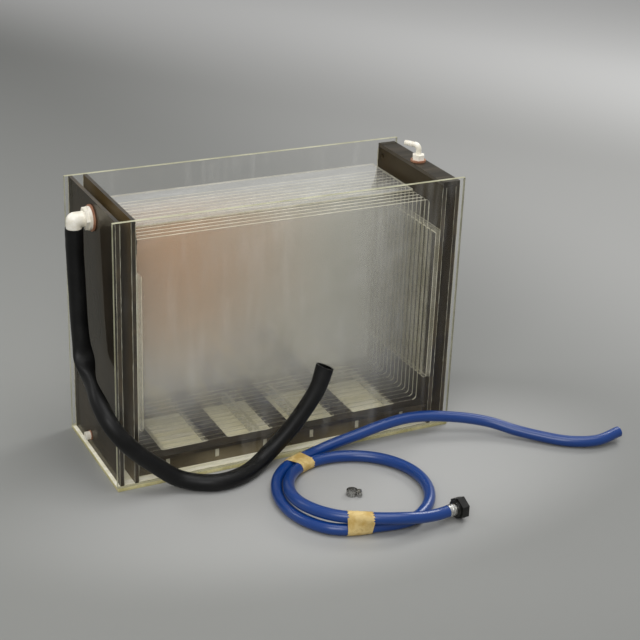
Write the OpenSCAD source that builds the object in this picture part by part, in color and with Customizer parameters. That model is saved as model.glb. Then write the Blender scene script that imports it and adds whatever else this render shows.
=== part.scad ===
// Archival print washer: a tall clear tank that holds large prints upright between sheets,
// with a smoked chamber at each end, a windowed false floor, grooved side rails, lift-out
// dividers, a loose hold-down plate, barbed elbows, a drain plug and two hoses.
// X runs from the outlet end to the inlet end, Y from front to back, Z up from the floor.
// The origin is the middle of the tank's underside.

/* [Tank] */
// Width over the front and back panels
tank_w = 610; // [540:1:700]
// Depth from the front panel's face to the back panel's face
tank_d = 238; // [230:1:300]
// Height of the rim above the floor
tank_h = 458; // [440:1:540]
// Thickness of the clear and smoked structural sheets
sheet_t = 6; // [5:0.5:8]
// How far the front and back panels stand past the end panels
end_inset = 6.5; // [3:0.5:12]
// Clear width of the chamber at each end
chamber_w = 19; // [18:0.5:30]
// How far the inlet chamber's cover lies below the rim
cover_drop = 6; // [0:0.5:12]
// Thickness of the inlet chamber's cover
cover_t = 6; // [4:0.5:8]

/* [False floor] */
// Height of the risers that carry the false floor
riser_h = 28; // [24:0.5:36]
// Thickness of the false floor
floor_t = 6; // [4:0.5:8]
// Gap from the false floor to the front and back panels
floor_gap = 9; // [6:0.5:14]
// How far each riser stands in from the floor's edge
riser_setback = 10; // [6:0.5:14]
// Width of each bar between the floor's windows
floor_bar_w = 34; // [24:1:44]
// Distance from one bar's middle to the next
floor_bar_pitch = 117; // [100:1:125]
// Width of the floor's front and back margins
floor_margin = 20; // [14:0.5:22]
// Corner radius of the windows
window_r = 4; // [2:0.5:8]
// Height of the joists under the floor
joist_h = 20; // [14:0.5:22]
// Width of each joist
joist_w = 6.5; // [5:0.5:8]
// Distance from one joist to the next
joist_pitch = 87; // [76:1:88]
// How far the set of joists sits toward the inlet
joist_shift = 7.5; // [0:0.5:12]

/* [Side rails] */
// Thickness of each grooved rail
rail_t = 9; // [7.5:0.5:11]
// Height of each rail
rail_h = 275; // [220:1:300]
// Gap from the false floor up to the rails
rail_lift = 54; // [40:1:70]
// Corner radius at the foot of each rail
rail_r = 10; // [4:0.5:16]
// Depth of the grooves
groove_depth = 4; // [3:0.25:5]
// Distance from one groove to the next
groove_pitch = 13.5; // [11:0.1:14.5]
// Slope cut along the top of each rail
rail_bevel = 5; // [2:0.5:6]

/* [Dividers] */
// Thickness of each divider
divider_t = 3; // [2:0.25:4]
// Height of each divider
divider_h = 373; // [340:1:395]
// Corner radius of the dividers
divider_r = 7; // [3:0.5:12]
// Play between a divider's faces and its groove, on each side
groove_play = 0.3; // [0.2:0.05:0.6]
// Play between a divider's edge and the bottom of its groove
edge_play = 1; // [0.4:0.1:2]

/* [Hold-down plate] */
// Thickness of the loose plate on the dividers
plate_t = 3; // [2:0.25:5]
// Depth of the loose plate
plate_d = 146; // [60:1:180]
// Gap from the loose plate to each partition
plate_side_gap = 10.5; // [8:0.5:16]
// Gap from the loose plate to the back panel
plate_back_gap = 1; // [0.5:0.1:4]
// Corner radius of the loose plate
plate_r = 9; // [4:0.5:14]

/* [Water ports] */
// Diameter of the water ports through the partitions
port_d = 9; // [6:0.5:11]
// Distance from one water port to the next
port_pitch = 22; // [16:0.5:24]
// Height of the overflow partition's ports above the false floor
port_rise = 12; // [8:0.5:20]
// Diameter of the vent and weep holes
vent_d = 8; // [5:0.5:10]
// Distance from the vent hole to the back panel
vent_inset = 16; // [10:0.5:30]
// Distance from the vent hole to the partition's top edge
vent_drop = 12.5; // [8:0.5:20]

/* [Fittings] */
// Diameter of the outlet elbow's shank
outlet_shank_d = 24; // [18:0.5:28]
// How far the outlet's middle lies below the rim
outlet_drop = 32; // [28:0.5:60]
// Distance from the end panel to the outlet elbow's upright leg
outlet_reach = 28.5; // [26:0.5:36]
// Diameter of the outlet elbow's body
outlet_body_d = 25; // [20:0.5:27]
// Diameter of the outlet elbow's washer
outlet_washer_d = 43; // [40:0.5:46]
// Thickness of both elbow washers
washer_t = 3; // [1.5:0.5:4]
// Diameter of the inlet elbow's shank
inlet_shank_d = 9.6; // [7:0.2:11]
// Height of the inlet elbow's barb above its washer
inlet_rise = 25; // [22:0.5:34]
// Length of the inlet elbow's barb
inlet_reach = 27; // [22:0.5:32]
// Turn of the inlet elbow's barb from the +X direction
inlet_turn = 123; // [100:1:140]
// Diameter of the inlet elbow's washer
inlet_washer_d = 26; // [22:0.5:29]
// Clearance between a shank and its hole or nut
thread_play = 0.1; // [0.05:0.05:0.4]
// Diameter of the drain plug's shank
plug_d = 8; // [6:0.5:10]
// Diameter of the drain plug's head
plug_head_d = 14; // [12:0.5:18]
// Length of the drain plug's head
plug_head_l = 8; // [5:0.5:12]
// Distance from the tank's middle to the drain plug
plug_y = 34.5; // [24:0.5:60]
// Height of the drain plug above the floor
plug_z = 26; // [18:0.5:32]

/* [Hoses] */
// Outer diameter of the black drain hose
drain_od = 28; // [24:0.5:29]
// Bore of the black drain hose
drain_id = 22; // [21:0.5:23]
// Outer diameter of the blue supply hose
supply_od = 19; // [16:0.5:19]
// Bore of the blue supply hose
supply_id = 13; // [12.8:0.1:14]
// Thickness of the tape bands
tape_t = 0.5; // [0.3:0.1:0.8]
// Length of each tape band along the hose
tape_l = 36; // [20:1:40]

/* [Hose coupling] */
// Width across the flats of the swivel nut
nut_af = 32; // [30:0.5:32.5]
// Length of the nut's hexagon
nut_hex_l = 13; // [11:0.5:18]
// Length of the nut's round collar
nut_collar_l = 4; // [3:0.5:6]
// Bore of the nut over the crests of its thread
nut_bore = 25.4; // [24:0.1:27]
// Diameter of the tailpiece's neck inside the nut
neck_d = 15.5; // [14:0.1:17]
// Length of the tailpiece between the hose and the nut
tailpiece_l = 13; // [9:0.5:20]

/* [Loose clamp] */
// Inner diameter of the clamp's band
clamp_id = 16.8; // [14:0.1:20]
// Width of the clamp's band
clamp_w = 9; // [7:0.5:12]
// Thickness of the clamp's band
clamp_t = 0.8; // [0.5:0.1:1.2]
// Diameter of the clamp's screw
screw_d = 5.3; // [4:0.1:6]

/* [Hidden] */
$fn = 64;
divider_count = 13;
groove_count = divider_count + 2;
joist_count = 6;
port_count = 8;
window_count = 4;

// Faces of the sheets, measured from the middle of the tank
in_y = tank_d / 2 - sheet_t;
end_out = tank_w / 2 - end_inset;
end_in = end_out - sheet_t;
part_out = end_in - chamber_w;
part_in = part_out - sheet_t;
chamber_mid = (part_out + end_in) / 2;
cover_z = tank_h - cover_drop - cover_t;

// False floor
floor_z = sheet_t + riser_h;
floor_top = floor_z + floor_t;
floor_half_d = in_y - floor_gap;
riser_out = floor_half_d - riser_setback;
joist_z = floor_z - joist_h;
joist_play = 0.2;

// Rails, dividers and the plate on them
rail_in = part_in - rail_t;
rail_z = floor_top + rail_lift;
groove_w = divider_t + 2 * groove_play;
divider_half_w = rail_in + groove_depth - edge_play;
divider_top = floor_top + divider_h;
plate_half_w = part_in - plate_side_gap;

// Outlet elbow
outlet_z = tank_h - outlet_drop;
outlet_leg_x = -(end_out + outlet_reach);
outlet_flange_d = 38;
outlet_flange_t = 4;
outlet_hex_af = 32;
outlet_bend_r = 14;
outlet_bore = 17;
collar_d = 28;
collar_l = 8;
collar_drop = outlet_bend_r + 2;
collar_h = collar_l;
hose_top_z = outlet_z - collar_drop - collar_h;
spigot_l = 27;
spigot_d = 19;
spigot_barb_d = 20.6;
lock_nut_t = 7;
outlet_lock_af = 36;
outlet_shank_in = lock_nut_t + 2;

// Inlet elbow
inlet_hex_af = 19;
inlet_hex_h = 9;
inlet_bore = 5;
inlet_barb_d = 9.5;
inlet_root_d = 7.6;
inlet_bend_r = 8;
inlet_lock_af = 15;
inlet_lock_t = 5;
inlet_shank_in = inlet_lock_t + 5;
barb_count = 3;
barb_l = 5;

// Drain plug
plug_play = 0.05;
plug_washer_t = 1.5;
plug_washer_d = plug_head_d + 3;
plug_tip = 3;

// Hose coupling: its axis lies one corner radius above the floor, with a little to spare
nut_floor_gap = 0.5;
nut_corner_r = nut_af / 2 / cos(30);
coupling_z = nut_corner_r + nut_floor_gap;
coupling_x = 138;
coupling_y = -403;
coupling_turn = 6;
swivel_play = 0.2;
neck_play = 0.05;
flange_t = 2;
flange_d = nut_bore - 2.4;
seal_t = 3;
seal_d = nut_bore - 0.4;
seal_bore = 12;
relief_d = nut_bore + 1.2;
tailpiece_d = 18.6;
tailpiece_rib_d = 20;
tailpiece_rib_l = 2;
tailpiece_bore = 9;
tailpiece_barb_d = 11;
tailpiece_barb_l = 18;

// Loose clamp
clamp_x = 38;
clamp_y = -271;
clamp_turn = -25;
clamp_r = clamp_id / 2 + clamp_t;
housing_wall = 0.9;
housing_l = 10;
screw_play = 0.05;
screw_x = clamp_r + housing_wall + screw_d / 2 + screw_play;
screw_tip = 1.5;
screw_head_af = 7;
screw_head_l = 3.5;
slot_w = 1.2;
slot_depth = 1.4;

// Tubes: the hose has few sides, as it is only bent round its route
tube_sides = 10;
coil_sides = 6;
supply_r = supply_od / 2;
tape_play = 0.1;
layer_gap = 0.6;

// The coil lies on the floor in two layers. It starts above its own second turn, drops
// inside it, widens, and leaves under the rear tape band.
coil_x = 38;
coil_y = -277;
coil_z = supply_r + tape_play + tape_t;
coil_start = -117;
coil_sweep = 496;
coil_steps = 34;
coil_inner_r = 113;
coil_outer_r = 122;
coil_end_r = 133;
widen_from = 145;
widen_to = 245;
flare_from = 425;
flare_to = 505;
drop_from = 40;
drop_to = 145;
dip_1_at = 92;
dip_1 = 8;
dip_1_half = 50;
dip_2_at = 343;
dip_2 = 12;
dip_2_half = 40;

// Rises smoothly from 0 to 1 while s goes from a to b
function ramp(s, a, b) = (1 - cos(180 * min(max((s - a) / (b - a), 0), 1))) / 2;
// Swells smoothly to 1 at s = a and back to 0 at a distance of h
function bump(s, a, h) = (1 + cos(180 * min(abs(s - a) / h, 1))) / 2;
function coil_radius(s) =
    coil_inner_r
    + (coil_outer_r - coil_inner_r) * ramp(s, widen_from, widen_to)
    + (coil_end_r - coil_outer_r) * ramp(s, flare_from, flare_to)
    - dip_1 * bump(s, dip_1_at, dip_1_half)
    - dip_2 * bump(s, dip_2_at, dip_2_half);
function coil_height(s) = coil_z + (supply_od + layer_gap) * (1 - ramp(s, drop_from, drop_to));
function coil_point(s) = [
    coil_x + coil_radius(s) * cos(coil_start - s),
    coil_y + coil_radius(s) * sin(coil_start - s),
    coil_height(s)
];
function coil_way(s) = unit(coil_point(s + 1) - coil_point(s - 1));
coil_in = coil_point(0) - supply_od * coil_way(0);
coil_out = coil_point(coil_sweep) + supply_od * coil_way(coil_sweep);
coil_route = concat(
    [coil_in],
    [for (i = [0:coil_steps]) coil_point(coil_sweep * i / coil_steps)],
    [coil_out]
);

// From the coupling the hose climbs on to the coil's upper layer
coupling_way = [cos(coupling_turn), sin(coupling_turn), 0];
coupling_at = [coupling_x, coupling_y, coupling_z];
lead_route = concat(
    [coupling_at, coupling_at - supply_od * coupling_way],
    [[88, -408, 23], [58, -407, 28]],
    [coil_in - supply_od * coil_way(0), coil_in]
);

// Past the coil the hose rises along the front panel, rounds the tank and lies down again
tail_route = concat(
    [coil_out, coil_out + supply_od * coil_way(coil_sweep)],
    [
        [72, -134, 16], [119, -132, 23], [166, -131, 31], [213, -131, 35], [250, -135, 34],
        [283, -143, 31], [320, -157, 27], [358, -178, 21], [390, -207, 14], [421, -238, 11],
        [460, -272, 10], [504, -291, 12], [552, -287, 17]
    ]
);

// The drain hose hangs from the outlet elbow, bends at a kink, rounds the tank's corner,
// touches the floor and leans up the front panel to its open end
drain_route = concat(
    [[outlet_leg_x, 0, hose_top_z], [outlet_leg_x, 0, hose_top_z - drain_od]],
    [
        [-327, -4, 335], [-327, -8, 295], [-327, -12, 255], [-327, -23, 216], [-328, -48, 188],
        [-329, -78, 170], [-328, -108, 156], [-322, -137, 136], [-307, -150, 112], [-288, -151, 89],
        [-248, -149, 50], [-215, -150, 23], [-187, -161, 15], [-157, -173, 14], [-126, -172, 14],
        [-97, -161, 14], [-70, -145, 17], [-46, -136, 29], [-12, -134, 59], [18, -134, 96],
        [40, -134, 131], [51, -134, 166]
    ]
);

clear = [0.80, 0.82, 0.74, 0.35];
smoked = [0.22, 0.20, 0.17, 0.85];
frosted = [0.86, 0.87, 0.80, 0.60];
nylon = [0.93, 0.93, 0.90];
washer_brown = [0.52, 0.28, 0.16];
hose_black = [0.09, 0.09, 0.09];
hose_blue = [0.13, 0.27, 0.62];
tape_cream = [0.90, 0.84, 0.62];
bright_metal = [0.78, 0.78, 0.76];
clamp_steel = [0.62, 0.62, 0.58];

function divider_name(k) = str("divider_", k < 10 ? "0" : "", k);
function divider_y(k) = groove_pitch * (k - 1 - (divider_count - 1) / 2);
function groove_y(k) = groove_pitch * (k - (groove_count - 1) / 2);
function joist_x(k) = joist_shift + joist_pitch * (k - (joist_count - 1) / 2);
function port_y(k) = port_pitch * (k - (port_count - 1) / 2);
function window_x(k) = floor_bar_pitch * (k - (window_count - 1) / 2);
function corner_d(af) = af / cos(30);

// Tube along a route

function unit(v) = v / norm(v);
function square_to(v, way) = unit(v - (v * way) * way);
// The way the route runs at point i
function way_at(p, i) =
    i == 0 ? unit(p[1] - p[0])
    : i == len(p) - 1 ? unit(p[i] - p[i - 1])
    : unit(unit(p[i + 1] - p[i]) + unit(p[i] - p[i - 1]));
// One direction across the route at each point, carried along without twist
function across(p, first) = [
    for (
        i = 0, a = square_to(first, way_at(p, 0));
        i < len(p);
        i = i + 1, a = i < len(p) ? square_to(a, way_at(p, i)) : a
    ) a
];
function ring(c, a, way, r, n) = [
    for (k = [0:n - 1]) c + r * (cos(360 * k / n) * a + sin(360 * k / n) * cross(way, a))
];
function skin(p, a, r, n) = [
    for (i = [0:len(p) - 1]) each ring(p[i], a[i], way_at(p, i), r, n)
];
// Two triangles for each side between neighbouring rings
function skin_faces(rings, n, from, outward) = [
    for (i = [0:rings - 2])
        for (k = [0:n - 1])
            let (
                m = (k + 1) % n,
                b = from + i * n + k,
                c = from + i * n + m,
                d = b + n,
                e = c + n
            )
            each (outward ? [[b, d, e], [b, e, c]] : [[b, e, d], [b, c, e]])
];
// Two triangles for each side of the flat ring that closes an end
function end_faces(n, outer, inner, at_start) = [
    for (k = [0:n - 1])
        let (m = (k + 1) % n)
        each (at_start
            ? [[outer + k, outer + m, inner + m], [outer + k, inner + m, inner + k]]
            : [[outer + k, inner + m, outer + m], [outer + k, inner + k, inner + m]])
];

module tube(route, first, od, id, n) {
    rings = len(route);
    a = across(route, first);
    inner = rings * n;
    last = (rings - 1) * n;
    polyhedron(
        points = concat(skin(route, a, od / 2, n), skin(route, a, id / 2, n)),
        faces = concat(
            skin_faces(rings, n, 0, true),
            skin_faces(rings, n, inner, false),
            end_faces(n, 0, inner, true),
            end_faces(n, last, inner + last, false)
        )
    );
}

// Least gap between the coil and itself, measured on points 3 degrees apart
gap_step = 3;
gap_skip = 60;
gap_count = floor(coil_sweep / gap_step);
coil_least_gap = min([
    for (i = [0:gap_count])
        for (j = [i + gap_skip / gap_step:gap_count])
            norm(coil_point(i * gap_step) - coil_point(j * gap_step)) - supply_od
]);
echo(coil_least_gap = coil_least_gap);

function route_length(p) = [for (i = [1:len(p) - 1]) norm(p[i] - p[i - 1])] * [for (i = [1:len(p) - 1]) 1];
echo(drain_hose_length = route_length(drain_route));
echo(supply_hose_length = route_length(lead_route) + route_length(coil_route) + route_length(tail_route));

// Shared shapes

// A sheet that stands across the tank's depth, from y0 to y0 + t
module across_sheet(y0, t) {
    translate([0, y0 + t, 0])
        rotate([90, 0, 0])
            linear_extrude(t)
                children();
}

// A sheet that stands along the tank's depth, from x0 to x0 + t
module along_sheet(x0, t) {
    translate([x0, 0, 0])
        rotate([90, 0, 90])
            linear_extrude(t)
                children();
}

// A rectangle from its lower left corner, with four round corners
module round_rect(w, h, r) {
    union() {
        translate([r, 0])
            square([w - 2 * r, h]);
        translate([0, r])
            square([w, h - 2 * r]);
        for (x = [r, w - r])
            for (y = [r, h - r])
                translate([x, y])
                    circle(r);
    }
}

module ring_plate(od, id, t) {
    difference() {
        cylinder(d = od, h = t);
        translate([0, 0, -1])
            cylinder(d = id, h = t + 2);
    }
}

module hex_plate(af, t) {
    cylinder(d = corner_d(af), h = t, $fn = 6);
}

// Hose barbs from z = 0 upward, each one wide at its foot
module barbs(d_wide, d_narrow, l, count) {
    for (i = [0:count - 1])
        translate([0, 0, i * l / count])
            cylinder(d1 = d_wide, d2 = d_narrow, h = l / count);
}

// A quarter bend from straight up at the origin to the +X direction
module bend(d, r) {
    translate([r, 0, 0])
        rotate([90, 0, 180])
            rotate_extrude(angle = 90)
                translate([r, 0])
                    circle(d = d);
}

// Tank

module end_outline(top) {
    translate([-in_y, sheet_t])
        square([2 * in_y, top - sheet_t]);
}

module base_plate() {
    color(clear)
        translate([-tank_w / 2, -tank_d / 2, 0])
            cube([tank_w, tank_d, sheet_t]);
}

module wide_panel(y0) {
    across_sheet(y0, sheet_t)
        translate([-tank_w / 2, sheet_t])
            square([tank_w, tank_h - sheet_t]);
}

module front_panel() {
    color(clear)
        wide_panel(-tank_d / 2);
}

module back_panel() {
    color(clear)
        wide_panel(in_y);
}

module outlet_end_panel() {
    color(smoked)
        along_sheet(-end_out, sheet_t)
            difference() {
                end_outline(tank_h);
                translate([0, outlet_z])
                    circle(d = outlet_shank_d + 2 * thread_play);
                translate([plug_y, plug_z])
                    circle(d = plug_d + 2 * plug_play);
            }
}

module inlet_end_panel() {
    color(smoked)
        along_sheet(end_in, sheet_t)
            end_outline(cover_z);
}

module port_row(z) {
    for (k = [0:port_count - 1])
        translate([port_y(k), z])
            circle(d = port_d);
}

module overflow_partition() {
    color(smoked)
        along_sheet(-part_out, sheet_t)
            difference() {
                end_outline(tank_h);
                port_row(floor_top + port_rise);
                translate([plug_y, sheet_t + vent_d])
                    circle(d = vent_d);
            }
}

module inlet_partition() {
    color(smoked)
        along_sheet(part_in, sheet_t)
            difference() {
                end_outline(cover_z);
                port_row(sheet_t + riser_h / 2);
                translate([in_y - vent_inset, cover_z - vent_drop])
                    circle(d = vent_d);
            }
}

module inlet_chamber_cover() {
    color(smoked)
        translate([0, 0, cover_z])
            linear_extrude(cover_t)
                difference() {
                    translate([part_in, -in_y])
                        square([end_out - part_in, 2 * in_y]);
                    translate([chamber_mid, 0])
                        circle(d = inlet_shank_d + 2 * thread_play);
                }
}

// False floor

module false_floor() {
    window_w = floor_bar_pitch - floor_bar_w;
    window_d = 2 * (floor_half_d - floor_margin);
    color(smoked)
        translate([0, 0, floor_z])
            linear_extrude(floor_t)
                difference() {
                    translate([-part_in, -floor_half_d])
                        square([2 * part_in, 2 * floor_half_d]);
                    for (k = [0:window_count - 1])
                        translate([window_x(k) - window_w / 2, -window_d / 2])
                            round_rect(window_w, window_d, window_r);
                }
}

module riser(y0) {
    across_sheet(y0, sheet_t)
        difference() {
            translate([-part_in, sheet_t])
                square([2 * part_in, riser_h]);
            for (k = [0:joist_count - 1])
                translate([joist_x(k) - joist_w / 2 - joist_play, joist_z])
                    square([joist_w + 2 * joist_play, joist_h + 1]);
        }
}

module front_riser() {
    color(smoked)
        riser(-riser_out);
}

module back_riser() {
    color(smoked)
        riser(riser_out - sheet_t);
}

module floor_joists() {
    color(frosted)
        for (k = [0:joist_count - 1])
            translate([joist_x(k) - joist_w / 2, -riser_out, joist_z])
                cube([joist_w, 2 * riser_out, joist_h]);
}

// Side rails: built for the outlet side, with the grooved face at x = -rail_in

module rail_profile() {
    translate([-part_in, rail_z])
        polygon([[0, 0], [rail_t, 0], [rail_t, rail_h - rail_bevel], [rail_t - rail_bevel, rail_h], [0, rail_h]]);
}

module rail_outline() {
    union() {
        translate([-in_y, rail_z + rail_r])
            square([2 * in_y, rail_h - rail_r]);
        translate([-in_y + rail_r, rail_z])
            square([2 * (in_y - rail_r), rail_h]);
        for (y = [-in_y + rail_r, in_y - rail_r])
            translate([y, rail_z + rail_r])
                circle(rail_r);
    }
}

module side_rail() {
    difference() {
        intersection() {
            across_sheet(-in_y, 2 * in_y)
                rail_profile();
            along_sheet(-part_in, rail_t)
                rail_outline();
        }
        for (k = [0:groove_count - 1])
            translate([-rail_in - groove_depth, groove_y(k) - groove_w / 2, rail_z - 1])
                cube([groove_depth + 1, groove_w, rail_h + 2]);
    }
}

module outlet_side_rail() {
    color(clear)
        side_rail();
}

module inlet_side_rail() {
    color(clear)
        mirror([1, 0, 0])
            side_rail();
}

// Loose sheets

module divider(k) {
    color(clear)
        across_sheet(divider_y(k) - divider_t / 2, divider_t)
            translate([-divider_half_w, floor_top])
                round_rect(2 * divider_half_w, divider_h, divider_r);
}

module hold_down_plate() {
    color(clear)
        translate([-plate_half_w, in_y - plate_back_gap - plate_d, divider_top])
            linear_extrude(plate_t)
                round_rect(2 * plate_half_w, plate_d, plate_r);
}

// Inlet elbow, built with its axis on z and the cover's top at z = 0

module inlet_passage() {
    top = washer_t + inlet_rise;
    translate([0, 0, -cover_t - inlet_shank_in - 1])
        cylinder(d = inlet_bore, h = top - inlet_bend_r + cover_t + inlet_shank_in + 1);
    translate([0, 0, top - inlet_bend_r])
        bend(inlet_bore, inlet_bend_r);
    translate([inlet_bend_r, 0, top])
        rotate([0, 90, 0])
            cylinder(d = inlet_bore, h = inlet_reach);
}

module inlet_elbow() {
    top = washer_t + inlet_rise;
    barb_run = barb_count * barb_l;
    color(nylon)
        translate([chamber_mid, 0, cover_z + cover_t])
            rotate([0, 0, inlet_turn])
                difference() {
                    union() {
                        translate([0, 0, -cover_t - inlet_shank_in])
                            cylinder(d = inlet_shank_d, h = cover_t + inlet_shank_in + washer_t);
                        translate([0, 0, washer_t])
                            hex_plate(inlet_hex_af, inlet_hex_h);
                        translate([0, 0, washer_t + inlet_hex_h])
                            cylinder(d = inlet_barb_d, h = inlet_rise - inlet_hex_h - inlet_bend_r);
                        translate([0, 0, top - inlet_bend_r])
                            bend(inlet_barb_d, inlet_bend_r);
                        translate([inlet_bend_r, 0, top])
                            rotate([0, 90, 0])
                                cylinder(d = inlet_root_d, h = inlet_reach - inlet_bend_r);
                        translate([inlet_reach, 0, top])
                            rotate([0, -90, 0])
                                barbs_reversed(inlet_barb_d, inlet_root_d, barb_run, barb_count);
                    }
                    inlet_passage();
                }
}

// Hose barbs from z = 0 upward, each one narrow at its foot
module barbs_reversed(d_wide, d_narrow, l, count) {
    for (i = [0:count - 1])
        translate([0, 0, i * l / count])
            cylinder(d1 = d_narrow, d2 = d_wide, h = l / count);
}

module inlet_washer() {
    color(washer_brown)
        translate([chamber_mid, 0, cover_z + cover_t])
            ring_plate(inlet_washer_d, inlet_shank_d + 2 * thread_play, washer_t);
}

module inlet_lock_nut() {
    color(nylon)
        translate([chamber_mid, 0, cover_z - inlet_lock_t])
            difference() {
                hex_plate(inlet_lock_af, inlet_lock_t);
                translate([0, 0, -1])
                    cylinder(d = inlet_shank_d + 2 * thread_play, h = inlet_lock_t + 2);
            }
}

// Outlet elbow, built with its shank on -X from the end panel's outer face

module outlet_run(d, from, to) {
    translate([-from, 0, outlet_z])
        rotate([0, -90, 0])
            cylinder(d = d, h = to - from);
}

// A quarter bend from the -X run down into the upright leg
module outlet_bend(d) {
    translate([outlet_leg_x, 0, outlet_z - outlet_bend_r])
        bend(d, outlet_bend_r);
}

module outlet_elbow() {
    seat = end_out + washer_t;
    leg_top = outlet_z - outlet_bend_r;
    color(nylon)
        difference() {
            union() {
                outlet_run(outlet_shank_d, end_in - outlet_shank_in, seat);
                outlet_run(outlet_flange_d, seat, seat + outlet_flange_t);
                translate([-seat - outlet_flange_t, 0, outlet_z])
                    rotate([0, -90, 0])
                        hex_plate(outlet_hex_af, -outlet_leg_x - outlet_bend_r - seat - outlet_flange_t - 1);
                outlet_run(outlet_body_d, seat, -outlet_leg_x - outlet_bend_r);
                outlet_bend(outlet_body_d);
                translate([outlet_leg_x, 0, hose_top_z])
                    cylinder(d = outlet_body_d, h = leg_top - hose_top_z);
                translate([outlet_leg_x, 0, hose_top_z])
                    cylinder(d = collar_d, h = collar_h);
                translate([outlet_leg_x, 0, hose_top_z - spigot_l])
                    cylinder(d = spigot_d, h = spigot_l);
                translate([outlet_leg_x, 0, hose_top_z - spigot_l])
                    barbs_reversed(spigot_barb_d, spigot_d, spigot_l * 0.8, barb_count);
            }
            outlet_run(outlet_bore, end_in - outlet_shank_in - 1, -outlet_leg_x - outlet_bend_r);
            outlet_bend(outlet_bore);
            translate([outlet_leg_x, 0, hose_top_z - spigot_l - 1])
                cylinder(d = outlet_bore, h = leg_top - hose_top_z + spigot_l + 1);
        }
}

module outlet_washer() {
    color(washer_brown)
        translate([-end_out, 0, outlet_z])
            rotate([0, -90, 0])
                ring_plate(outlet_washer_d, outlet_shank_d + 2 * thread_play, washer_t);
}

module outlet_lock_nut() {
    color(nylon)
        translate([-end_in, 0, outlet_z])
            rotate([0, 90, 0])
                difference() {
                    hex_plate(outlet_lock_af, lock_nut_t);
                    translate([0, 0, -1])
                        cylinder(d = outlet_shank_d + 2 * thread_play, h = lock_nut_t + 2);
                }
}

// Drain plug

module drain_plug() {
    color(nylon)
        translate([-end_out, plug_y, plug_z])
            rotate([0, -90, 0]) {
                translate([0, 0, -sheet_t - plug_tip])
                    cylinder(d = plug_d, h = sheet_t + plug_tip + plug_washer_t);
                translate([0, 0, plug_washer_t])
                    difference() {
                        cylinder(d = plug_head_d, h = plug_head_l);
                        translate([0, 0, plug_head_l - slot_depth])
                            translate([-plug_head_d, -slot_w, 0])
                                cube([2 * plug_head_d, 2 * slot_w, slot_depth + 1]);
                    }
            }
}

module drain_washer() {
    color(washer_brown)
        translate([-end_out, plug_y, plug_z])
            rotate([0, -90, 0])
                ring_plate(plug_washer_d, plug_d, plug_washer_t);
}

// Hoses and tape

module drain_hose() {
    color(hose_black)
        tube(drain_route, [1, 0, 0], drain_od, drain_id, tube_sides);
}

module supply_hose_lead() {
    color(hose_blue)
        tube(lead_route, [0, 0, 1], supply_od, supply_id, tube_sides);
}

module supply_hose_coil() {
    color(hose_blue)
        tube(coil_route, [0, 0, 1], supply_od, supply_id, coil_sides);
}

module supply_hose_tail() {
    color(hose_blue)
        tube(tail_route, [0, 0, 1], supply_od, supply_id, tube_sides);
}

// Outline round two strands, one at the origin and one l further along x
module pair_outline(l, r) {
    union() {
        circle(r);
        translate([l, 0])
            circle(r);
        translate([0, -r])
            square([l, 2 * r]);
    }
}

// A tape band round two strands of the coil, square to the strand at coil angle s. The
// other strand is one turn before it.
module tape_band(s) {
    here = coil_point(s);
    way = coil_way(s);
    other = coil_point(s - 360) - here;
    aside = (other[0] * way[1] - other[1] * way[0]) / norm([way[0], way[1]]);
    r = supply_r + tape_play;
    translate(here)
        rotate([0, 0, atan2(way[1], way[0])])
            rotate([90, 0, 90])
                rotate([0, 0, atan2(other[2], -aside)])
                    translate([0, 0, -tape_l / 2])
                        linear_extrude(tape_l)
                            difference() {
                                pair_outline(norm([aside, other[2]]), r + tape_t);
                                pair_outline(norm([aside, other[2]]), r);
                            }
}

front_tape_at = 356;
rear_tape_at = coil_sweep - 4;

module front_tape_band() {
    color(tape_cream)
        tape_band(front_tape_at);
}

module rear_tape_band() {
    color(tape_cream)
        tape_band(rear_tape_at);
}

// Hose coupling, built on z with the hose's end at z = 0 and the nut above

module on_coupling() {
    translate(coupling_at)
        rotate([0, 90, coupling_turn])
            children();
}

module hose_tailpiece() {
    neck_l = nut_collar_l + 2 * swivel_play;
    color(bright_metal)
        on_coupling()
            difference() {
                union() {
                    translate([0, 0, -tailpiece_barb_l])
                        cylinder(d = tailpiece_barb_d - 1, h = tailpiece_barb_l);
                    translate([0, 0, -tailpiece_barb_l])
                        barbs_reversed(tailpiece_barb_d - 1, tailpiece_barb_d, tailpiece_barb_l, barb_count);
                    cylinder(d = tailpiece_d, h = tailpiece_l);
                    for (z = [0, (tailpiece_l - tailpiece_rib_l) / 2, tailpiece_l - tailpiece_rib_l])
                        translate([0, 0, z])
                            cylinder(d = tailpiece_rib_d, h = tailpiece_rib_l);
                    translate([0, 0, tailpiece_l])
                        cylinder(d = neck_d, h = neck_l);
                    translate([0, 0, tailpiece_l + neck_l])
                        cylinder(d = flange_d, h = flange_t);
                }
                translate([0, 0, -tailpiece_barb_l - 1])
                    cylinder(d = tailpiece_bore, h = tailpiece_barb_l + tailpiece_l + neck_l + flange_t + 2);
            }
}

module swivel_nut() {
    collar_z = tailpiece_l + swivel_play;
    seat_z = collar_z + nut_collar_l;
    relief_l = flange_t + seal_t + 3 * swivel_play;
    color(hose_black)
        on_coupling()
            difference() {
                union() {
                    translate([0, 0, collar_z])
                        cylinder(d = nut_af - 4, h = nut_collar_l);
                    translate([0, 0, seat_z])
                        hex_plate(nut_af, nut_hex_l);
                }
                translate([0, 0, collar_z - 1])
                    cylinder(d = neck_d + 2 * neck_play, h = nut_collar_l + 2);
                translate([0, 0, seat_z])
                    cylinder(d = relief_d, h = relief_l);
                translate([0, 0, seat_z])
                    cylinder(d = nut_bore, h = nut_hex_l + 1);
            }
}

module nut_seal() {
    color(washer_brown)
        on_coupling()
            translate([0, 0, tailpiece_l + nut_collar_l + 2 * swivel_play + flange_t])
                ring_plate(seal_d, seal_bore, seal_t);
}

// Loose clamp, built on z with its screw housing at +X

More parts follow.
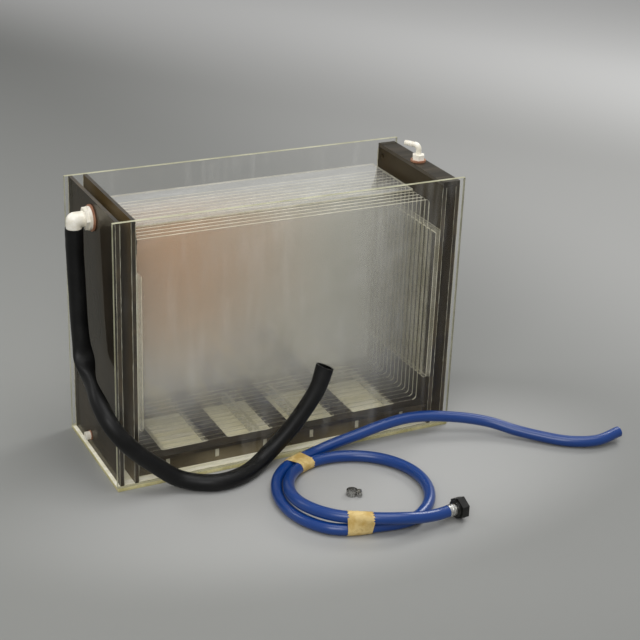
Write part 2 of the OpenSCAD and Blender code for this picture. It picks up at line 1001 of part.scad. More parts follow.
module on_clamp() {
    translate([clamp_x, clamp_y, 0])
        rotate([0, 0, clamp_turn])
            children();
}

module clamp_band() {
    color(clamp_steel)
        on_clamp()
            ring_plate(2 * clamp_r, clamp_id, clamp_w);
}

module clamp_housing() {
    bore = screw_d + 2 * screw_play;
    outer = bore + 2 * housing_wall;
    color(clamp_steel)
        on_clamp()
            difference() {
                union() {
                    translate([screw_x, housing_l / 2, clamp_w / 2])
                        rotate([90, 0, 0])
                            cylinder(d = outer, h = housing_l);
                    translate([0, -housing_l / 2, (clamp_w - outer) / 2])
                        cube([screw_x, housing_l, outer]);
                }
                translate([0, 0, -1])
                    cylinder(r = clamp_r, h = clamp_w + 2);
                translate([screw_x, housing_l / 2 + 1, clamp_w / 2])
                    rotate([90, 0, 0])
                        cylinder(d = bore, h = housing_l + 2);
            }
}

module clamp_screw() {
    color(clamp_steel)
        on_clamp()
            translate([screw_x, -housing_l / 2, clamp_w / 2])
                rotate([90, 0, 0])
                    difference() {
                        union() {
                            translate([0, 0, -housing_l - screw_tip])
                                cylinder(d = screw_d, h = housing_l + screw_tip + swivel_play);
                            translate([0, 0, swivel_play])
                                hex_plate(screw_head_af, screw_head_l);
                        }
                        translate([-screw_head_af, -slot_w / 2, swivel_play + screw_head_l - slot_depth])
                            cube([2 * screw_head_af, slot_w, slot_depth + 1]);
                    }
}

base_plate();
front_panel();
back_panel();
outlet_end_panel();
inlet_end_panel();
overflow_partition();
inlet_partition();
inlet_chamber_cover();
false_floor();
front_riser();
back_riser();
floor_joists();
outlet_side_rail();
inlet_side_rail();
for (k = [1:divider_count]) divider(k);
hold_down_plate();
inlet_elbow();
inlet_washer();
inlet_lock_nut();
outlet_elbow();
outlet_washer();
outlet_lock_nut();
drain_plug();
drain_washer();
drain_hose();
supply_hose_lead();
supply_hose_coil();
supply_hose_tail();
front_tape_band();
rear_tape_band();
hose_tailpiece();
swivel_nut();
nut_seal();
clamp_band();
clamp_housing();
clamp_screw();
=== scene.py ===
"""Archival print washer: a clear tank with smoked ends, thirteen loose dividers and its hoses.

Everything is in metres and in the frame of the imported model: x runs along the tank from its
outlet end to its inlet end, y from its front to its back and z up from the floor.
"""

from __future__ import annotations

import logging
import math
import random
from dataclasses import dataclass, field
from enum import Enum
from typing import Callable, Sequence

import bmesh
import bpy
from mathutils import Matrix, Vector, noise


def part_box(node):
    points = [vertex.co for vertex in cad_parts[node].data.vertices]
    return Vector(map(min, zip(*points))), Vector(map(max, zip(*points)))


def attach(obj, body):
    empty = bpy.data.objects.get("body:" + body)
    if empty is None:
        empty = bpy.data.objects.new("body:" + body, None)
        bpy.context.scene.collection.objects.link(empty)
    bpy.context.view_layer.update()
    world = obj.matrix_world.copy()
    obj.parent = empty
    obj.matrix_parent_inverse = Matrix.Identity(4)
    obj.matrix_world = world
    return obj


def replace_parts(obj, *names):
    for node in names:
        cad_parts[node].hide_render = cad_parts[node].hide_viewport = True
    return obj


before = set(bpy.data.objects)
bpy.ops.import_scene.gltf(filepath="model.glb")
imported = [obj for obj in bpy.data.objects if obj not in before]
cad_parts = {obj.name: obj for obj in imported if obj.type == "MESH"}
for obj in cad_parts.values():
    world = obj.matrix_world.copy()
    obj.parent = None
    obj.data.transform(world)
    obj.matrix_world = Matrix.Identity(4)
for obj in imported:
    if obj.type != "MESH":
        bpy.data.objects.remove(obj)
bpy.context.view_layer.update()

LOG = logging.getLogger("print_washer")
MM = 0.001
SEED = 1961

Colour = tuple[float, float, float]
Number = "Signal | float"


class Axis(Enum):
    """A direction of the shared frame, and its place in a vector."""

    X = 0
    Y = 1
    Z = 2


class Slot(Enum):
    """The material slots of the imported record."""

    CLEAR = "clear_acrylic"
    SMOKED = "smoked_acrylic"
    FROSTED = "frosted_acrylic"
    NYLON = "white_nylon"
    BROWN_RUBBER = "brown_rubber"
    BLACK_RUBBER = "black_rubber"
    BLUE_HOSE = "blue_hose"
    TAPE = "paper_tape"
    PLATED = "plated_metal"
    BLACK_PLASTIC = "black_plastic"
    CLAMP_STEEL = "clamp_steel"


class Signal:
    """A socket of a finish's node tree, on which sums and products can be written."""

    def __init__(self, shade: Shade, socket: bpy.types.NodeSocket) -> None:
        """Wraps one output socket of a shade's tree."""
        self.shade = shade
        self.socket = socket

    def maths(self, operation: str, first: Number, second: Number = 0.0) -> Signal:
        """Adds one Math node.

        Args:
            operation: The node's operation.
            first: Its first value or signal.
            second: Its second value or signal.

        Returns:
            The node's result.
        """
        return self.shade.node(
            "ShaderNodeMath", {"operation": operation}, {0: first, 1: second}
        )

    def __add__(self, other: Number) -> Signal:
        """This plus another."""
        return self.maths("ADD", self, other)

    def __radd__(self, other: Number) -> Signal:
        """Another plus this."""
        return self.maths("ADD", other, self)

    def __sub__(self, other: Number) -> Signal:
        """This minus another."""
        return self.maths("SUBTRACT", self, other)

    def __rsub__(self, other: Number) -> Signal:
        """Another minus this."""
        return self.maths("SUBTRACT", other, self)

    def __mul__(self, other: Number) -> Signal:
        """This times another."""
        return self.maths("MULTIPLY", self, other)

    def __rmul__(self, other: Number) -> Signal:
        """Another times this."""
        return self.maths("MULTIPLY", other, self)

    def __pow__(self, other: Number) -> Signal:
        """This to the power of another."""
        return self.maths("POWER", self, other)

    def __abs__(self) -> Signal:
        """This without its sign."""
        return self.maths("ABSOLUTE", self)


class Shade:
    """The node tree of one material, built from its surface output backwards."""

    def __init__(self, name: str) -> None:
        """Starts an empty tree for a material of that name."""
        self.material = bpy.data.materials.new(name)
        self.material.use_nodes = True
        self.tree = self.material.node_tree
        self.tree.nodes.clear()

    def node(
        self,
        kind: str,
        settings: dict[str, object] | None = None,
        sockets: dict[int | str, object] | None = None,
        out: int | str = 0,
    ) -> Signal:
        """Adds one node of any type.

        Args:
            kind: The node's type.
            settings: Its properties, set before its sockets. "stops" are a ramp's places and colours.
            sockets: The value or the signal of each socket, by name or number.
            out: The output that is returned.

        Returns:
            The signal at that output.
        """
        made = self.tree.nodes.new(kind)
        for name, value in (settings or {}).items():
            if name == "stops":
                self.set_stops(made, value)
            else:
                setattr(made, name, value)
        for key, value in (sockets or {}).items():
            socket = made.inputs[key]
            if isinstance(value, Signal):
                self.tree.links.new(value.socket, socket)
            elif socket.type == "RGBA":
                socket.default_value = (*value[:3], 1.0)
            else:
                socket.default_value = value
        return Signal(self, made.outputs[out])

    @staticmethod
    def set_stops(
        ramp_node: bpy.types.Node, stops: Sequence[tuple[float, Colour]]
    ) -> None:
        """Places a ramp's stops.

        Args:
            ramp_node: The Color Ramp node.
            stops: Each stop's place from 0 to 1, and its colour.
        """
        ramp = ramp_node.color_ramp
        ends = (stops[0], stops[-1])
        for element, (place, colour) in zip(ramp.elements, ends):
            element.position = place
            element.color = (*colour, 1.0)
        for place, colour in stops[1:-1]:
            ramp.elements.new(place).color = (*colour, 1.0)

    def place(self, scale: Colour = (1, 1, 1), shift: Colour = (0, 0, 0)) -> Signal:
        """Object coordinates, stretched and shifted.

        Args:
            scale: The stretch along x, y and z.
            shift: The shift along x, y and z.

        Returns:
            The coordinates.
        """
        spot = self.node("ShaderNodeTexCoord", out="Object")
        return self.node(
            "ShaderNodeMapping", None, {"Vector": spot, "Location": shift, "Scale": scale}
        )

    def leaning(self, lean: float, scale: Colour) -> Signal:
        """Object coordinates turned about y, and then stretched.

        Args:
            lean: The angle of the turn, in radians.
            scale: The stretch along the turned x, y and z.

        Returns:
            The coordinates.
        """
        spot = self.node("ShaderNodeTexCoord", out="Object")
        turned = self.node(
            "ShaderNodeMapping", None, {"Vector": spot, "Rotation": (0.0, lean, 0.0)}
        )
        return self.node("ShaderNodeMapping", None, {"Vector": turned, "Scale": scale})

    def part(self, vector: Signal, axis: Axis) -> Signal:
        """One component of a vector."""
        return self.node("ShaderNodeSeparateXYZ", None, {0: vector}, out=axis.value)

    def side(self, axis: Axis) -> Signal:
        """How squarely a surface faces along an axis, from 0 to 1."""
        normal = self.node("ShaderNodeTexCoord", out="Normal")
        return abs(self.part(normal, axis))

    def sleeve(self, scale: Colour = (1, 1, 1)) -> Signal:
        """A hose's own coordinates: the way along it, and the cosine and sine round it.

        Args:
            scale: The stretch along the three.

        Returns:
            The coordinates.
        """
        own = self.node("ShaderNodeAttribute", {"attribute_name": "sleeve"}, out="Vector")
        return self.node("ShaderNodeMapping", None, {"Vector": own, "Scale": scale})

    def noise(
        self, vector: Signal, scale: float, detail: float = 3.0, rough: float = 0.55
    ) -> Signal:
        """Cloudy noise from 0 to 1.

        Args:
            vector: The coordinates.
            scale: How many waves there are to a metre.
            detail: How many finer octaves it has.
            rough: How strong they are.

        Returns:
            The noise.
        """
        return self.node(
            "ShaderNodeTexNoise",
            None,
            {"Vector": vector, "Scale": scale, "Detail": detail, "Roughness": rough},
        )

    def cells(self, vector: Signal, scale: float) -> Signal:
        """The distance from the nearest of many scattered points."""
        return self.node(
            "ShaderNodeTexVoronoi", None, {"Vector": vector, "Scale": scale}
        )

    def step(self, signal: Signal, low: float, high: float) -> Signal:
        """A soft step from 0 at low to 1 at high, or down where low is the higher."""
        return self.node(
            "ShaderNodeMapRange",
            {"interpolation_type": "SMOOTHSTEP"},
            {"Value": signal, "From Min": low, "From Max": high},
        )

    def mix(self, factor: Number, first: object, second: object) -> Signal:
        """A colour between two colours."""
        return self.node(
            "ShaderNodeMix",
            {"data_type": "RGBA"},
            {0: factor, 6: first, 7: second},
            out=2,
        )

    def bump(self, height: Signal, depth: float, strength: float = 1.0) -> Signal:
        """A normal that follows a height.

        Args:
            height: The height, from 0 to 1.
            depth: How deep that is, in metres.
            strength: How much of it shows.

        Returns:
            The normal.
        """
        return self.node(
            "ShaderNodeBump",
            None,
            {"Height": height, "Distance": depth, "Strength": strength},
        )

    def body(self, **sockets: object) -> Signal:
        """A Principled surface, whose sockets are named with _ for a space."""
        named = {
            key.replace("_", " ").title().replace("Ior", "IOR"): value
            for key, value in sockets.items()
        }
        return self.node("ShaderNodeBsdfPrincipled", None, named)

    def clear(self, tint: Colour) -> Signal:
        """What is behind, seen through a tint."""
        return self.node("ShaderNodeBsdfTransparent", None, {"Color": tint})

    def either(self, factor: Number, first: Signal, second: Signal) -> Signal:
        """A surface between two surfaces."""
        return self.node("ShaderNodeMixShader", None, {0: factor, 1: first, 2: second})

    def done(self, surface: Signal) -> bpy.types.Material:
        """Makes a surface the material's own.

        Args:
            surface: The finished surface.

        Returns:
            The material.
        """
        end = self.tree.nodes.new("ShaderNodeOutputMaterial")
        self.tree.links.new(surface.socket, end.inputs["Surface"])
        return self.material


@dataclass(frozen=True)
class SheetFinish:
    """Acrylic sheet: clear or smoked faces with water marks, and sawn edges whose pale colour on
    clear sheets is partly their own tone and partly a painted glow.
    """

    name: str
    axis: Axis
    tint: Colour
    film: float
    film_colour: Colour
    marks: float
    mark_colour: Colour
    edge: Colour
    edge_dark: Colour
    edge_cover: float = 0.85
    warm: float = 0.0
    warm_colour: Colour = (0.92, 0.64, 0.43)
    roughness: float = 0.05
    fine: bool = True
    clear_low: float = 0.0
    streak: float = 9.0
    sheen: Colour = (1.0, 1.0, 1.0)
    clear_side: float = 0.0
    rims: tuple[float, float] = (0.0, 0.0)
    # painted light: how much the haze shines by itself
    glow: float = 0.0
    lean: float = 0.0

    def make(self) -> bpy.types.Material:
        """Builds the material.

        Returns:
            The finished material.
        """
        shade = Shade(self.name)
        spot = shade.place()
        cloud = shade.noise(shade.place((1.0, self.streak, 0.8)), 7.0, 2.0)
        film = self.film * (0.45 + 1.1 * cloud)
        if self.lean:
            trail = shade.leaning(self.lean, (0.7, 9.0, 0.09))
        else:
            trail = shade.place((1.0, 9.0, 0.12), (3.1, 0.4, 7.0))
        runs = shade.noise(trail, 60.0, 1.0)
        haze = film + shade.step(runs * (0.4 + cloud), 0.46, 0.72) * self.marks
        if self.clear_low > 0:
            haze = haze * shade.step(shade.part(spot, Axis.Z), 0.0, self.clear_low)
        if self.clear_side > 0:
            inward = shade.step(shade.part(spot, Axis.X), 0.262, 0.262 - self.clear_side)
            haze = haze * (0.3 + 0.7 * inward)
        if self.fine:
            haze = haze + self.blemishes(shade, cloud) * self.marks
        haze = haze.maths("MINIMUM", haze, 0.92)
        colour = shade.mix(shade.step(cloud, 0.4, 0.65), self.film_colour, self.mark_colour)
        # A warm tint over the upper part of each sheet towards the outlet end, with a little more
        # haze there.
        if self.warm > 0:
            high = shade.step(shade.part(spot, Axis.Z), 0.06, 0.34)
            left = shade.step(shade.part(spot, Axis.X), 0.16, -0.18)
            glow = high * left * (0.5 + cloud) * self.warm
            colour = shade.mix(glow, colour, self.warm_colour)
            haze = haze + glow * 0.02
        facing = shade.node(
            "ShaderNodeLayerWeight", None, {"Blend": 0.5}, out="Facing"
        )
        mirror = 0.035 + 0.965 * facing**5.0
        gloss = shade.node(
            "ShaderNodeBsdfGlossy", None, {"Color": self.sheen, "Roughness": self.roughness}
        )
        pane = shade.either(mirror, shade.clear(self.tint), gloss)
        # painted light: the haze emits its own film colour at strength glow
        light = dict(emission_color=self.film_colour, emission_strength=self.glow)
        pane = shade.either(haze, pane, shade.body(base_color=colour, roughness=0.45, **light))
        grain = shade.noise(shade.place((1.0, 1.0, 1.0)), 260.0, 4.0)
        patch = shade.noise(spot, 24.0, 4.0)
        # On clear sheets the pale edge colours are partly the sawn edge's own tone and partly a
        # painted glow of light carried in the sheet.
        tone = shade.mix(shade.step(grain * 0.5 + patch, 0.55, 0.95), self.edge, self.edge_dark)
        sawn = shade.body(
            base_color=tone, roughness=0.3, normal=shade.bump(grain, 0.15 * MM, 0.5)
        )
        cover: Number = self.edge_cover
        if self.rims[1] > 0:
            middle, half = self.rims
            across = abs(abs(shade.part(spot, Axis.X)) - middle)
            cover = cover + 0.65 * shade.step(across, half - 1.6 * MM, half - 0.5 * MM)
        sawn = shade.either(cover, shade.clear(self.tint), sawn)
        face = shade.step(shade.side(self.axis), 0.75, 0.95)
        return shade.done(shade.either(face, sawn, pane))

    def blemishes(self, shade: Shade, cloud: Signal) -> Signal:
        """Dried specks and fine scratches on a polished face.

        Args:
            shade: The finish's tree.
            cloud: Where the specks gather.

        Returns:
            How much of them there is.
        """
        specks = shade.cells(shade.place((1.0, 6.0, 1.0)), 95.0)
        scratch = shade.noise(shade.place((0.6, 6.0, 9.0), (0.2, 5.0, 1.0)), 42.0, 4.0, 0.7)
        across = shade.noise(shade.place((8.0, 6.0, 0.5), (6.2, 1.0, 3.0)), 36.0, 4.0, 0.7)
        dots = shade.step(specks, 0.14, 0.04) * shade.step(cloud, 0.52, 0.62)
        lines = shade.step(scratch, 0.66, 0.7) + shade.step(across, 0.68, 0.72)
        return dots * 0.5 + lines * 0.35


@dataclass(frozen=True)
class SolidFinish:
    """A solid surface with mottling, wear and a fine grain; on the clamp the wear patches are also
    painted shade.
    """

    name: str
    colour: Colour
    wear_and_shade: Colour
    roughness: float = 0.45
    spread: float = 0.15
    metallic: float = 0.0
    grain: float = 300.0
    depth: float = 0.1
    patch: float = 60.0
    coat: float = 0.0
    scratched: float = 0.0
    shine: float = 0.5

    def make(self) -> bpy.types.Material:
        """Builds the material.

        Returns:
            The finished material.
        """
        shade = Shade(self.name)
        spot = shade.place()
        patch = shade.noise(spot, self.patch, 4.0)
        grain = shade.noise(spot, self.grain, 3.0)
        wear_and_shade = shade.step(patch + grain * 0.35, 0.55, 0.85)
        if self.scratched > 0:
            scratch = shade.noise(shade.place((9.0, 0.8, 4.0)), 160.0, 5.0, 0.7)
            wear_and_shade = wear_and_shade + shade.step(scratch, 0.62, 0.68) * self.scratched
        wear_and_shade = wear_and_shade.maths("MINIMUM", wear_and_shade, 1.0)
        colour = shade.mix(wear_and_shade, self.colour, self.wear_and_shade)
        rough = (self.roughness - self.spread * 0.5) + patch * self.spread
        return shade.done(
            shade.body(
                base_color=colour,
                roughness=rough,
                metallic=self.metallic,
                specular_ior_level=self.shine,
                coat_weight=self.coat,
                normal=shade.bump(grain, self.depth * MM, 0.6),
            )
        )


@dataclass(frozen=True)
class HoseFinish:
    """Hose wall: moulded lines along it, scuffs, dust and a soft sheen."""

    name: str
    colour: Colour
    dust: Colour
    roughness: float
    dust_share: float
    lines: float = 26.0
    coat: float = 0.0
    depth: float = 0.12
    shine: float = 0.5

    def make(self) -> bpy.types.Material:
        """Builds the material.

        Returns:
            The finished material.
        """
        shade = Shade(self.name)
        spot = shade.place()
        cloud = shade.noise(spot, 22.0, 4.0)
        fine = shade.noise(spot, 420.0, 3.0)
        drawn = shade.noise(shade.sleeve((6.0, 1.0, 1.0)), self.lines, 3.0, 0.6)
        rubbed = shade.noise(shade.sleeve((60.0, 1.2, 1.2)), 3.0, 5.0, 0.65)
        dusty = shade.step(cloud + fine * 0.3, 0.55, 0.95)
        dusty = (dusty + shade.step(rubbed, 0.6, 0.72) * 0.6) * self.dust_share
        dusty = dusty.maths("MINIMUM", dusty, 1.0)
        colour = shade.mix(dusty, self.colour, self.dust)
        rough = self.roughness + 0.25 * dusty + 0.08 * (cloud - 0.5)
        height = drawn * 0.6 + fine * 0.4
        return shade.done(
            shade.body(
                base_color=colour,
                roughness=rough,
                specular_ior_level=self.shine,
                coat_weight=self.coat,
                coat_roughness=0.18,
                normal=shade.bump(height, self.depth * MM, 0.7),
            )
        )


@dataclass(frozen=True)
class TapeFinish:
    """Creped paper tape: fine cross ribs and glue stains."""

    name: str = "creped_paper_tape"
    colour: Colour = (0.52, 0.345, 0.095)
    pale: Colour = (0.69, 0.52, 0.22)
    stain: Colour = (0.36, 0.22, 0.06)

    def make(self) -> bpy.types.Material:
        """Builds the material.

        Returns:
            The finished material.
        """
        shade = Shade(self.name)
        spot = shade.place()
        crepe = shade.noise(shade.sleeve((1.0, 30.0, 30.0)), 2.2, 4.0)
        fine = shade.noise(spot, 900.0, 2.0)
        cloud = shade.noise(spot, 55.0, 4.0)
        colour = shade.mix(shade.step(cloud, 0.35, 0.6), self.colour, self.pale)
        colour = shade.mix(shade.step(cloud + fine * 0.2, 0.68, 0.85) * 0.7, colour, self.stain)
        height = crepe * 0.7 + fine * 0.3
        return shade.done(
            shade.body(
                base_color=colour, roughness=0.62, normal=shade.bump(height, 0.35 * MM, 0.8)
            )
        )


@dataclass(frozen=True)
class FloorFinish:
    """A pale studio floor with a slow change of tone that is painted light and shade: a painted pool
    of light in front of the tank, painted shade towards the camera, and painted light to the left, to
    the right and far off.
    """

    name: str = "studio_floor"
    # painted light: the near floor goes from low on the right to the lighter middle on the left
    low: Colour = (0.225, 0.228, 0.218)
    middle: Colour = (0.275, 0.278, 0.264)
    # painted light: the floor colour at the middle of the painted pool of light
    high: Colour = (0.44, 0.44, 0.43)
    # painted light: the lighter floor to the right, and the much lighter floor far off
    side: Colour = (0.33, 0.33, 0.32)
    far: Colour = (0.69, 0.69, 0.68)
    # painted shade: the floor colour towards the camera
    edge: Colour = (0.195, 0.198, 0.188)
    # painted light: the middle and the half widths of a pool of light painted on the floor in front
    # of the tank
    painted_light_pool: tuple[float, float] = (0.03, -0.21)
    painted_light_pool_size: tuple[float, float] = (0.62, 0.32)

    def make(self) -> bpy.types.Material:
        """Builds the material.

        Returns:
            The finished material.
        """
        shade = Shade(self.name)
        spot = shade.place()
        fine = shade.noise(spot, 220.0, 3.0)
        x, y = shade.part(spot, Axis.X), shade.part(spot, Axis.Y)
        # painted light: the floor gets lighter towards the left, to the right and far off
        left = shade.step(x, 0.35, -0.6)
        near = shade.mix(left, self.low, self.middle)
        # painted light: a soft pool of light painted on the floor in front of the tank, inside the
        # coil
        off_x = (x - self.painted_light_pool[0]) * (1 / self.painted_light_pool_size[0])
        off_y = (y - self.painted_light_pool[1]) * (1 / self.painted_light_pool_size[1])
        painted_light_pool = shade.step(off_x * off_x + off_y * off_y, 1.0, 0.0)
        near = shade.mix(painted_light_pool * 0.75, near, self.high)
        # painted shade: the floor darkens towards the camera
        front = shade.step(0.46 * x + 0.89 * y, -0.40, -0.66)
        near = shade.mix(front * 0.5, near, self.edge)
        near = shade.mix(shade.step(x + 0.1 * y, 0.45, 1.2), near, self.side)
        painted_far_light = shade.step(0.7 * x + 0.5 * y + 0.06 * fine, 1.5, 2.5)
        colour = shade.mix(painted_far_light, near, self.far)
        return shade.done(shade.body(base_color=colour, roughness=0.75))


class Finishes:
    """All the finishes of the washer, each made once."""

    def __init__(self) -> None:
        """Builds every material."""
        clear = dict(
            tint=(0.996, 0.995, 0.990),
            film_colour=(0.96, 0.96, 0.92),
            mark_colour=(0.97, 0.97, 0.94),
            # The pale edge colours are partly a painted glow of light carried in the sheet.
            edge=(0.80, 0.77, 0.62),
            edge_dark=(0.55, 0.52, 0.38),
        )
        smoked = dict(
            tint=(0.20, 0.150, 0.085),
            film_colour=(0.032, 0.023, 0.011),
            mark_colour=(0.052, 0.036, 0.017),
            sheen=(0.62, 0.60, 0.54),
            edge=(0.022, 0.018, 0.012),
            edge_dark=(0.075, 0.055, 0.030),
        )
        wall = {
            **clear,
            "edge": (0.56, 0.55, 0.38),
            "edge_dark": (0.36, 0.35, 0.21),
            "sheen": (0.45, 0.44, 0.40),
        }
        self.wall = SheetFinish("tank_wall", Axis.Y, film=0.008, marks=0.05, **wall).make()
        self.base = SheetFinish(
            "tank_base",
            Axis.Z,
            tint=(0.95, 0.95, 0.86),
            film=0.75,
            film_colour=(0.92, 0.88, 0.68),
            marks=0.25,
            mark_colour=(0.97, 0.94, 0.82),
            edge=(0.72, 0.66, 0.36),
            edge_dark=(0.48, 0.43, 0.18),
            edge_cover=0.95,
            # painted light: the base plate's haze glows, standing in for light that barely reaches it
            # under the false floor
            glow=0.15,
        ).make()
        self.divider = SheetFinish(
            "divider_sheet",
            Axis.Y,
            film=0.046,
            marks=0.045,
            lean=-1.22,
            warm=0.95,
            fine=False,
            clear_low=0.20,
            clear_side=0.09,
            **clear,
        ).make()
        self.plate = SheetFinish("cover_sheet", Axis.Z, film=0.085, marks=0.10, **clear).make()
        self.rail = SheetFinish(
            "grooved_rail",
            Axis.X,
            film=0.015,
            marks=0.03,
            edge_cover=0.3,
            rims=(263.0 * MM, 4.5 * MM),
            **clear,
        ).make()
        self.joist = SheetFinish("sawn_joist", Axis.X, film=0.30, marks=0.30, **clear).make()
        self.smoked_end = SheetFinish(
            "smoked_end",
            Axis.X,
            film=0.36,
            marks=0.008,
            edge_cover=0.97,
            fine=False,
            streak=1.2,
            **smoked,
        ).make()
        inner = {
            **smoked,
            "film_colour": (0.080, 0.054, 0.021),
            "mark_colour": (0.090, 0.062, 0.026),
            "sheen": (0.42, 0.38, 0.28),
        }
        self.smoked_inner = SheetFinish(
            "smoked_partition",
            Axis.X,
            film=0.34,
            marks=0.004,
            edge_cover=0.97,
            fine=False,
            streak=1.0,
            **inner,
        ).make()
        self.smoked_chamber = SheetFinish(
            "smoked_chamber",
            Axis.X,
            film=0.6,
            marks=0.02,
            edge_cover=0.97,
            fine=False,
            streak=1.0,
            **{
                **inner,
                "film_colour": (0.150, 0.095, 0.028),
                "mark_colour": (0.180, 0.120, 0.045),
            },
        ).make()
        riser = {**smoked, "film_colour": (0.115, 0.088, 0.046), "mark_colour": (0.20, 0.16, 0.09)}
        self.smoked_riser = SheetFinish(
            "smoked_riser", Axis.Y, film=0.7, marks=0.1, edge_cover=0.97, **riser
        ).make()
        self.smoked_floor = SheetFinish(
            "smoked_floor", Axis.Z, film=0.5, marks=0.1, edge_cover=0.97, **smoked
        ).make()
        self.nylon = SolidFinish(
            "moulded_nylon", (0.92, 0.885, 0.79), (0.80, 0.75, 0.62), 0.36, depth=0.05
        ).make()
        self.washer = SolidFinish(
            "brown_washer", (0.30, 0.13, 0.07), (0.42, 0.22, 0.13), 0.55
        ).make()
        self.black_hose = HoseFinish(
            "black_hose_wall",
            (0.0045, 0.0045, 0.0045),
            (0.026, 0.026, 0.025),
            0.42,
            0.3,
            shine=0.22,
        ).make()
        self.blue_hose = HoseFinish(
            "blue_hose_wall", (0.002, 0.038, 0.200), (0.02, 0.11, 0.33), 0.30, 0.10, coat=0.12
        ).make()
        self.tape = TapeFinish().make()
        self.plated = SolidFinish(
            "worn_plating",
            (0.72, 0.72, 0.70),
            (0.48, 0.47, 0.44),
            0.28,
            metallic=1.0,
            scratched=0.5,
            patch=240.0,
        ).make()
        self.black_plastic = SolidFinish(
            "black_nut",
            (0.009, 0.009, 0.008),
            (0.026, 0.026, 0.024),
            0.42,
            grain=600.0,
            shine=0.25,
        ).make()
        # The clamp's dark patches are wear and also painted shade and dark reflection, which give the
        # ring its contrast.
        self.clamp = SolidFinish(
            "clamp_strip",
            (0.52, 0.52, 0.50),
            (0.12, 0.11, 0.10),
            0.22,
            metallic=1.0,
            scratched=0.6,
            patch=400.0,
            grain=1200.0,
        ).make()
        self.void = SolidFinish(
            "dark_glue_gap", (0.012, 0.010, 0.008), (0.05, 0.045, 0.035), 0.3
        ).make()
        self.glue = SheetFinish(
            "glue_bead",
            Axis.X,
            tint=(0.93, 0.92, 0.85),
            film=0.5,
            film_colour=(0.70, 0.68, 0.56),
            marks=0.4,
            mark_colour=(0.85, 0.83, 0.72),
            edge=(0.72, 0.70, 0.58),
            edge_dark=(0.40, 0.37, 0.25),
            edge_cover=0.6,
        ).make()


def collect(
    name: str,
    shape: bmesh.types.BMesh,
    body: str,
    slot: Slot,
    *materials: bpy.types.Material,
    crease: float = 35.0,
) -> bpy.types.Object:
    """Turns a finished shape into a piece that rides on a body.

    Args:
        name: The piece's name.
        shape: Its shape, which is freed.
        body: The body it rides on.
        slot: The record's slot for its finish; not used.
        materials: Its materials, in the order of its faces' numbers.
        crease: The angle in degrees from which an edge shades sharp.

    Returns:
        The piece.
    """
    mesh = bpy.data.meshes.new(name)
    shape.to_mesh(mesh)
    shape.free()
    for polygon in mesh.polygons:
        polygon.use_smooth = True
    mesh.set_sharp_from_angle(angle=math.radians(crease))
    made = bpy.data.objects.new(name, mesh)
    bpy.context.scene.collection.objects.link(made)
    for material in materials:
        mesh.materials.append(material)
    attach(made, body)
    LOG.info("%s: %d faces on %s", name, len(mesh.polygons), body)
    return made


def dress(material: bpy.types.Material, *nodes: str) -> None:
    """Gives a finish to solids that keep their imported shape.

    Args:
        material: The finish.
        nodes: The solids' names.
    """
    for node in nodes:
        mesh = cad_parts[node].data
        mesh.materials.clear()
        mesh.materials.append(material)
        LOG.info("%s: kept, with %s", node, material.name)


def sheet_shape(
    low: Vector, high: Vector, thin: Axis, corner: float, lip: float
) -> bmesh.types.BMesh:
    """A flat sheet with rounded corners and eased edges.

    Args:
        low: Its lowest corner.
        high: Its highest corner.
        thin: The direction of its thickness.
        corner: The radius of its corners, or 0.
        lip: The width of its eased edges.

    Returns:
        The shape.
    """
    shape = bmesh.new()
    bmesh.ops.create_cube(shape, size=1.0)
    size = high - low
    bmesh.ops.scale(shape, vec=size, verts=shape.verts)
    bmesh.ops.translate(shape, vec=(low + high) / 2, verts=shape.verts)
    if corner > 0:
        posts = [
            edge
            for edge in shape.edges
            if abs((edge.verts[0].co - edge.verts[1].co)[thin.value]) > 0.5 * size[thin.value]
        ]
        bmesh.ops.bevel(
            shape,
            geom=posts,
            offset=corner,
            affect="EDGES",
            segments=6,
            profile=0.5,
            material=-1,
        )
    rims = [
        edge
        for edge in shape.edges
        if abs((edge.verts[0].co - edge.verts[1].co)[thin.value]) < 0.1 * size[thin.value]
    ]
    bmesh.ops.bevel(
        shape,
        geom=rims,
        offset=lip,
        affect="EDGES",
        segments=2,
        profile=0.5,
        material=-1,
    )
    return shape


def loft(
    rings: Sequence[Sequence[Vector]],
    ways: Sequence[float],
    joined: bool = True,
) -> bmesh.types.BMesh:
    """A skin drawn through rings of points.

    Args:
        rings: The rings, all of one length.
        ways: How far along the piece each ring is, for its sleeve coordinates.
        joined: Whether the last ring is joined to the first, which closes a hollow tube.
            Otherwise both ends are capped.

    Returns:
        The shape.
    """
    shape = bmesh.new()
    sleeve = shape.verts.layers.float_vector.new("sleeve")
    count = len(rings[0])
    line = bmesh.ops.create_circle(shape, segments=count, radius=1.0)["verts"]
    edges = list(shape.edges)
    first_edges = list(edges)
    turns = [
        Vector((0, math.cos(math.tau * k / count), math.sin(math.tau * k / count)))
        for k in range(count)
    ]

    def settle(verts: Sequence[bmesh.types.BMVert], ring: Sequence[Vector], way: float) -> None:
        """Puts one ring's points in place, with their sleeve coordinates."""
        for vert, spot, turn in zip(verts, ring, turns):
            vert.co = spot
            vert[sleeve] = Vector((way, turn.y, turn.z))

    settle(line, rings[0], ways[0])
    for ring, way in zip(rings[1:], ways[1:]):
        grown = bmesh.ops.extrude_edge_only(shape, edges=edges)["geom"]
        fresh = {item for item in grown if isinstance(item, bmesh.types.BMVert)}
        order = {vert: place for place, vert in enumerate(line)}
        next_line: list[bmesh.types.BMVert] = [None] * count
        for vert in fresh:
            for edge in vert.link_edges:
                other = edge.other_vert(vert)
                if other in order:
                    next_line[order[other]] = vert
        edges = [
            item
            for item in grown
            if isinstance(item, bmesh.types.BMEdge)
            and item.verts[0] in fresh
            and item.verts[1] in fresh
        ]
        line = next_line
        settle(line, ring, way)
    if joined:
        bmesh.ops.bridge_loops(shape, edges=first_edges + edges)
    else:
        bmesh.ops.holes_fill(shape, edges=first_edges + edges)
    bmesh.ops.recalc_face_normals(shape, faces=shape.faces)
    return shape


